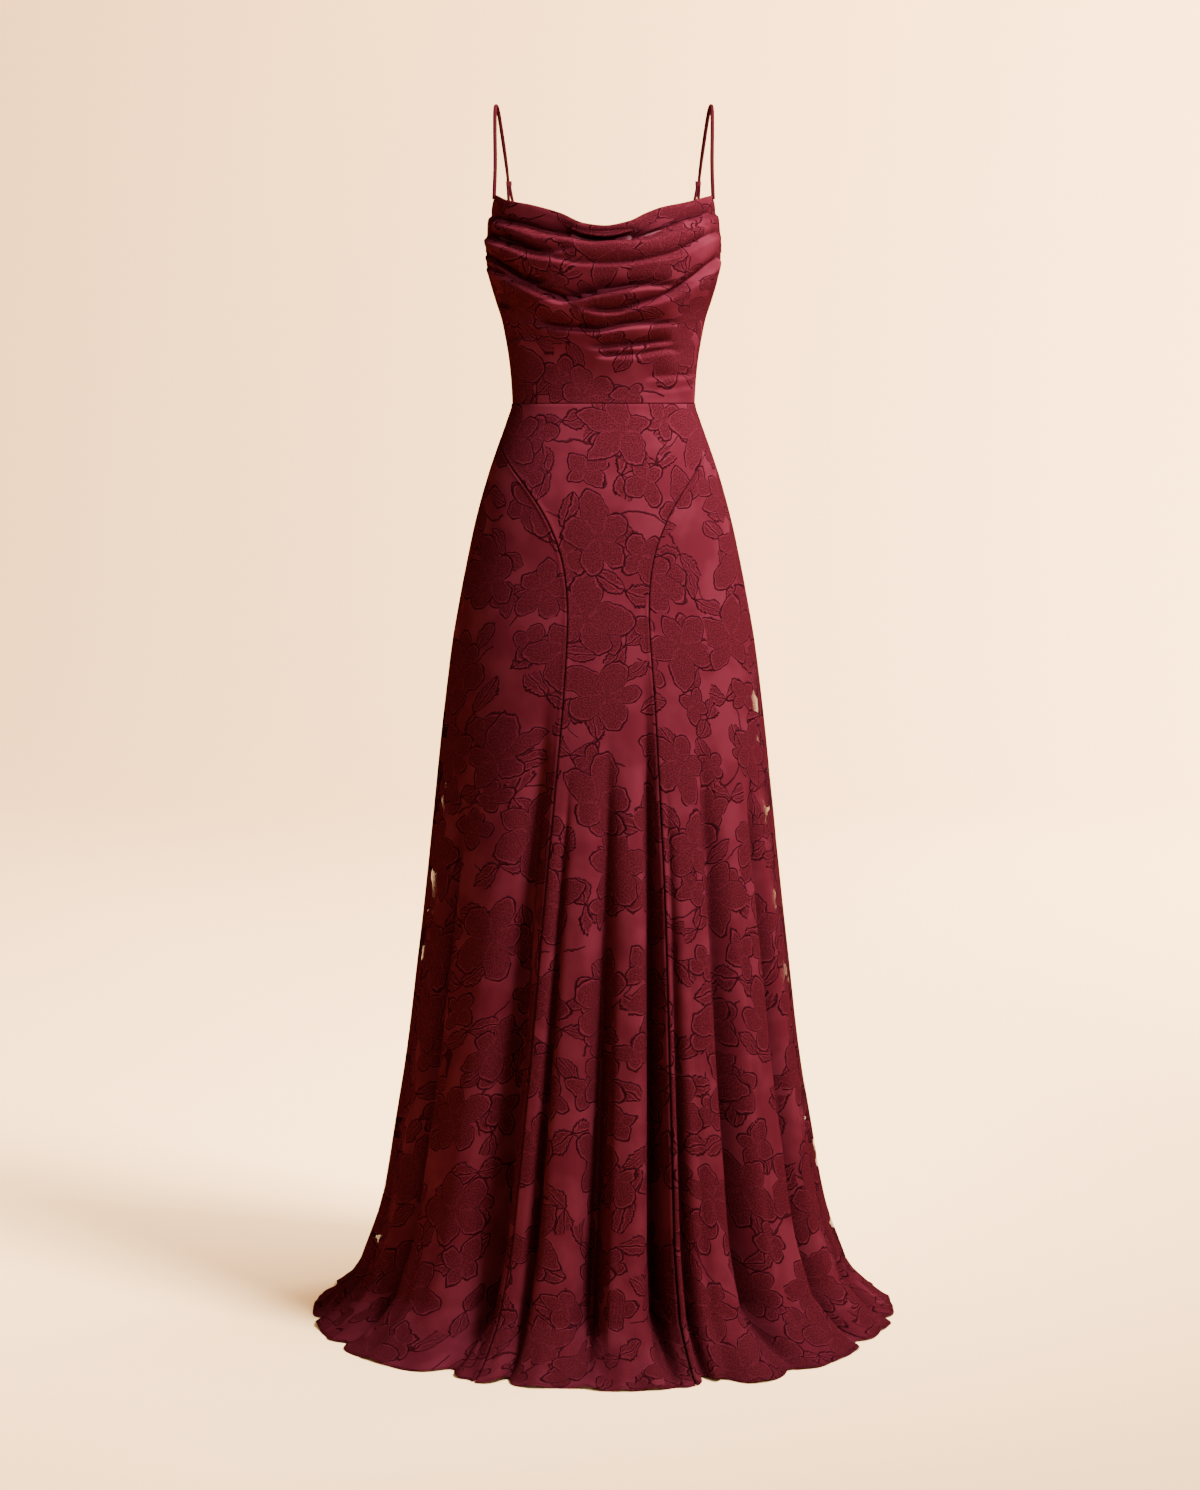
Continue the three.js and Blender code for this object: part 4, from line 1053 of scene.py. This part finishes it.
def lining_grid(panels, drops):
    """The lining's columns keep to the panels' own angles below the knee and stay at them above it."""
    drop = drops[:, None]
    height = np.minimum(height_at(drop), SEAM_KNEE)
    angles = []
    for number, panel in enumerate(panels):
        start, end = seam_angles(panel, height)
        shares = panel_shares(panel, LINING_STEP)[0 if number == 0 else 1 :]
        angles.append(start + (end - start) * shares[None, :])
    return skirt_lining_point(np.concatenate(angles, 1), drop)


for name, panels in LINING_PANELS.items():
    points = lining_grid(panels, skirt_drops(WAIST_HEIGHT, LINING_STEP, False))
    flat = flat_cloth(points, np.zeros(2))
    made = grid_object(name.replace("lining", "satin"), points, flat, LINING_CLOTH, satin_look)
    declare(made, points, name)

# Bodice
BODICE = {
    "front": {"start": -SIDE_SEAM, "end": SIDE_SEAM},
    "back_left": {"start": SIDE_SEAM, "end": CENTRE_BACK},
    "back_right": {"start": -CENTRE_BACK, "end": -SIDE_SEAM},
}
BODICE_LENGTH = 215
BODICE_RADIUS = 120
BODICE_MIDDLE = 0.4
BODICE_PATTERN_STEP = np.array([311.0, 0.0])
BODICE_PATTERN_START = np.array([97.0, 53.0])
TURNED_IN = 12.0
TURNED_ROWS = 6
TURN_RADIUS = 1.3


def turned_edge(points):
    """Adds the cloth turned in at a grid's first row: half a circle over the edge, then straight down."""
    edge = points[0]
    inward = towards_axis(edge)
    up = np.array([0.0, 0.0, 1.0])
    depths = np.linspace(TURNED_IN, 0, TURNED_ROWS)
    turns = np.linspace(math.pi, 0, TURNED_ROWS + 1)[1:-1]
    down = [edge + inward * 2 * TURN_RADIUS - up * depth for depth in depths]
    bend = [edge + (inward * (1 - math.cos(turn)) + up * math.sin(turn)) * TURN_RADIUS for turn in turns]
    return np.concatenate([np.stack(down + bend), points])


for number, (name, span) in enumerate(BODICE.items()):
    start, wide = span["start"], span["end"] - span["start"]
    clear = np.degrees(SEAM_GAP / 2 / BODICE_RADIUS)
    fine = np.linspace(0, 1, FINE)
    middle = lengths(bodice_point(start + wide * fine, np.full(FINE, BODICE_MIDDLE)), 0)

    angle = start + clear + (wide - 2 * clear) * even_steps(middle, fine, BODICE_STEP)[None, :]
    drop = np.linspace(0, 1, int(BODICE_LENGTH / BODICE_STEP))[:, None]
    points = turned_edge(bodice_point(angle, drop))
    flat = flat_cloth(points, BODICE_PATTERN_STEP * number + BODICE_PATTERN_START)
    points, flat = with_turned_sides(points, normals(points), flat)
    points, flat = with_turned_top(points[::-1], flat[::-1])
    points, flat = points[::-1], flat[::-1]
    made = grid_object(f"cloth_bodice_{name}", points, flat, CLOTH, cloth_look, folded=True)
    declare(made, points, f"bodice_{name}")

    angle = start + clear + (wide - 2 * clear) * even_steps(middle, fine, LINING_STEP)[None, :]
    drop = np.linspace(0, 1, int(BODICE_LENGTH / LINING_STEP))[:, None]
    points = bodice_lining_point(angle, drop)
    flat = flat_cloth(points, np.zeros(2))
    made = grid_object(f"satin_bodice_{name}", points, flat, LINING_CLOTH, satin_look)
    declare(made, points, f"lining_bodice_{name}")

# CAD nodes that stay as they are get the new materials
LOOKS = {
    "strap_loop_left": strap_look,
    "strap_loop_right": strap_look,
    "slider_left": enamel_look,
    "slider_right": enamel_look,
    "zip": strap_look,
    "zip_slider": enamel_look,
    "zip_pull": enamel_look,
}
for node, look in LOOKS.items():
    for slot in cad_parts[node].material_slots:
        slot.material = look

# Straps: round tubes of turned cloth
STRAP_RADIUS = 2.5
STRAND_RADIUS = 2.0
STRAP_SIDES = 12
STRAP_RINGS = 6
SLIDER_ACROSS = 120.5
SLIDER_DEPTH = 62
SLIDER_HEIGHT = 1446
STRAND_APART = 1.5
STRAND_LEAD = 8
STRAND_LEAN = 2.5
STRAND_END = 1
STRAP_PAST_CORNER = 1.5
LOOP_CENTRE_RISE = 5.8

# Round the loop, from its centre: across, back and up
ROUND_LOOP = [(4.1, -1, 4.55), (2.5, 0, 0.3), (0, 0, 0), (-2.5, 0, 0.3), (-4.1, -1, 4.55)]

OVER_SHOULDER = [
    (134.8, -36.2, 1462),
    (135.4, -25.2, 1505),
    (135.4, -14, 1532),
    (134, 4, SHOULDER_HEIGHT - STRAP_RADIUS),
    (131.5, 24, 1527),
    (126, 47, 1488),
]


def smooth_line(stops, rings):
    """Points along a Catmull-Rom curve through the stops, with the same number of rings in each stretch."""
    stops = np.array(stops, float)
    ends = np.concatenate([[2 * stops[0] - stops[1]], stops, [2 * stops[-1] - stops[-2]]])
    t = np.linspace(0, 1, rings, endpoint=False)[:, None]
    parts = []
    for a, b, c, d in zip(ends, ends[1:], ends[2:], ends[3:]):
        square = (2 * a - 5 * b + 4 * c - d) * t**2
        cube = (3 * b - a - 3 * c + d) * t**3
        parts.append(0.5 * (2 * b + (c - a) * t + square + cube))
    return np.concatenate(parts + [stops[-1:]])


def round_tube(name, line, radii, material):
    """A closed tube round a line: rings across it, and a point at each end."""
    ahead = unit(np.gradient(line, axis=0))
    aside = unit(np.cross(ahead, (1.0, 0.0, 0.0)))
    up = np.cross(ahead, aside)
    turn = np.linspace(0, 2 * math.pi, STRAP_SIDES, endpoint=False)
    around = np.cos(turn)[:, None] * aside[:, None] + np.sin(turn)[:, None] * up[:, None]
    rings = line[:, None] + around * radii[:, None, None]
    count = len(line)
    index = np.arange(count * STRAP_SIDES).reshape(count, STRAP_SIDES)
    after = np.roll(index, -1, 1)
    quads = np.stack([index[:-1], after[:-1], after[1:], index[1:]], -1).reshape(-1, 4)
    first, last = count * STRAP_SIDES, count * STRAP_SIDES + 1
    start_cap = np.stack([np.full(STRAP_SIDES, first), after[0], index[0]], -1)
    end_cap = np.stack([np.full(STRAP_SIDES, last), index[-1], after[-1]], -1)
    points = np.concatenate([rings.reshape(-1, 3), line[:1], line[-1:]])
    mesh = bpy.data.meshes.new(name)
    mesh.from_pydata(placed(points), [], quads.tolist() + start_cap.tolist() + end_cap.tolist())
    return linked(name, mesh, material)


def strap(side, name):
    """A tube from the front corner over the shoulder, through the slider, round the loop and back up."""
    corner = bodice_point(np.array(NECK_CORNER + STRAP_PAST_CORNER), np.array(0.0))
    eye = bodice_point(np.array(BACK_STRAP_ANGLE), np.array(0.0)) + (0, 0, LOOP_CENTRE_RISE)
    above = [corner] + OVER_SHOULDER
    outer = SLIDER_ACROSS + STRAND_APART
    inner = SLIDER_ACROSS - STRAND_APART
    strands = [
        (outer, SLIDER_DEPTH, SLIDER_HEIGHT + STRAND_LEAD),
        (outer - SEAM_GAP, SLIDER_DEPTH + STRAND_LEAN, SLIDER_HEIGHT - STRAND_LEAD),
        *(eye + step for step in ROUND_LOOP),
        (inner - SEAM_GAP, SLIDER_DEPTH + STRAND_LEAN, SLIDER_HEIGHT - STRAND_LEAD),
        (inner, SLIDER_DEPTH + STRAND_END, SLIDER_HEIGHT + STRAND_END),
    ]
    stops = np.array([tuple(map(float, stop)) for stop in above + strands]) * (side, 1, 1)
    line = smooth_line(stops, STRAP_RINGS)
    thick = [STRAP_RADIUS] * len(above) + [STRAND_RADIUS] * len(strands)
    radii = np.interp(np.arange(len(line)), np.arange(len(stops)) * STRAP_RINGS, thick)
    made = round_tube(f"tube_strap_{name}", line, radii, strap_look)
    node = f"strap_{name}"
    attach(made, DRESS)
    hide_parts(node)


strap(1, "left")
strap(-1, "right")

# Floor and backdrop: one sheet that lies flat, bends up behind and rises
FLOOR_FRONT = -8.5
BEND_START = 5.5
BEND_RADIUS = 3.0
BEND_ROWS = 24
WALL_TOP = 7.0
HALF_WIDTH = 12.0
GROUND_Z = -SHOULDER_HEIGHT * METRE


def backdrop():
    """Two columns of points along a line that is straight, a quarter circle, and straight again."""
    turn = np.linspace(0, math.pi / 2, BEND_ROWS)
    y = np.concatenate([[FLOOR_FRONT], BEND_START + BEND_RADIUS * np.sin(turn), [BEND_START + BEND_RADIUS]])
    z = np.concatenate([[0.0], BEND_RADIUS * (1 - np.cos(turn)), [WALL_TOP]]) + GROUND_Z
    points = [(x, a, b) for a, b in zip(y, z) for x in (-HALF_WIDTH, HALF_WIDTH)]
    quads = [(2 * i, 2 * i + 1, 2 * i + 3, 2 * i + 2) for i in range(len(y) - 1)]
    mesh = bpy.data.meshes.new("backdrop")
    mesh.from_pydata(points, [], quads)
    look = plain_material("backdrop", BACKDROP, Roughness=0.9, Specular_IOR_Level=0.1)
    linked("backdrop", mesh, look)


backdrop()

# Lights, in metres and watts: spot lights where a cone is given in degrees, and disks where none is
KEY_COLOUR = (1.0, 0.97, 0.93)
FRONT_COLOUR = (1.0, 0.96, 0.92)
WALL_COLOUR = (1.0, 0.96, 0.9)
LIGHT_COLUMNS = "name at to size cone watts colour"
LIGHTS = [
    ("key", (2.15, -1.6, 2.3), (0, 0, 0.32), 1.2, 60, 5200, KEY_COLOUR),
    ("front", (0.4, -4.6, 1.6), (0, 0, -0.6), 2.0, None, 40, FRONT_COLOUR),
    ("wall", (3.8, 2.6, 2.8), (2.8, 7.5, -0.9), 3.0, None, 2700, WALL_COLOUR),
    ("floor", (2.7, -0.5, 3.2), (2.2, -0.6, -1.5), 3.6, None, 650, WALL_COLOUR),
    ("bodice", (1.2, -2.6, 0.7), (0, 0, -0.2), 0.5, 15, 1250, KEY_COLOUR),
]


def lamp_data(light):
    """A spot light that fades out to its cone's edge, or a disk."""
    if light["cone"] is None:
        data = bpy.data.lights.new(light["name"], "AREA")
        data.shape = "DISK"
        data.size = light["size"]
        return data
    data = bpy.data.lights.new(light["name"], "SPOT")
    data.spot_size = math.radians(light["cone"])
    data.spot_blend = 1.0
    data.shadow_soft_size = light["size"] / 2
    return data


def aim(made, at, to):
    """Places a lamp and turns it down and round until it points at a place."""
    away = np.array(at) - np.array(to)
    made.location = at
    level = math.hypot(away[0], away[1])
    made.rotation_euler = (math.atan2(level, away[2]), 0, math.atan2(away[0], -away[1]))


for row in LIGHTS:
    light = dict(zip(LIGHT_COLUMNS.split(), row))
    data = lamp_data(light)
    data.energy = light["watts"]
    data.color = light["colour"]
    lamp = bpy.data.objects.new(light["name"], data)
    aim(lamp, light["at"], light["to"])
    lamp.visible_camera = False
    bpy.context.scene.collection.objects.link(lamp)

# The sky lights less than the camera sees of it
SKY_LIGHT = 0.75
SKY_SEEN = 3.2
world = bpy.data.worlds.new("studio")
world.use_nodes = True
tree = world.node_tree
seen = Value(tree, add_node(tree, "ShaderNodeLightPath", {}, {}).outputs["Is Camera Ray"])
sky = tree.nodes["Background"]
plug(tree, sky.inputs["Color"], SKY)
plug(tree, sky.inputs["Strength"], seen * (SKY_SEEN - SKY_LIGHT) + SKY_LIGHT)
bpy.context.scene.world = world

# Camera, at the photograph's height, distance and tilt
CAMERA_DISTANCE = 4.205
CAMERA_HEIGHT = 1.157
CAMERA_ACROSS = -0.0045
CAMERA_TILT = 5.75
FOCAL_LENGTH = 80
SENSOR_WIDTH = 36
CLIP_END = 60
lens = bpy.data.cameras.new("camera")
lens.lens = FOCAL_LENGTH
lens.sensor_width = SENSOR_WIDTH
lens.clip_end = CLIP_END
camera = bpy.data.objects.new("camera", lens)
camera.location = (CAMERA_ACROSS, -CAMERA_DISTANCE, CAMERA_HEIGHT + GROUND_Z)
camera.rotation_euler = (math.radians(90 - CAMERA_TILT), 0, 0)
bpy.context.scene.collection.objects.link(camera)
bpy.context.scene.camera = camera
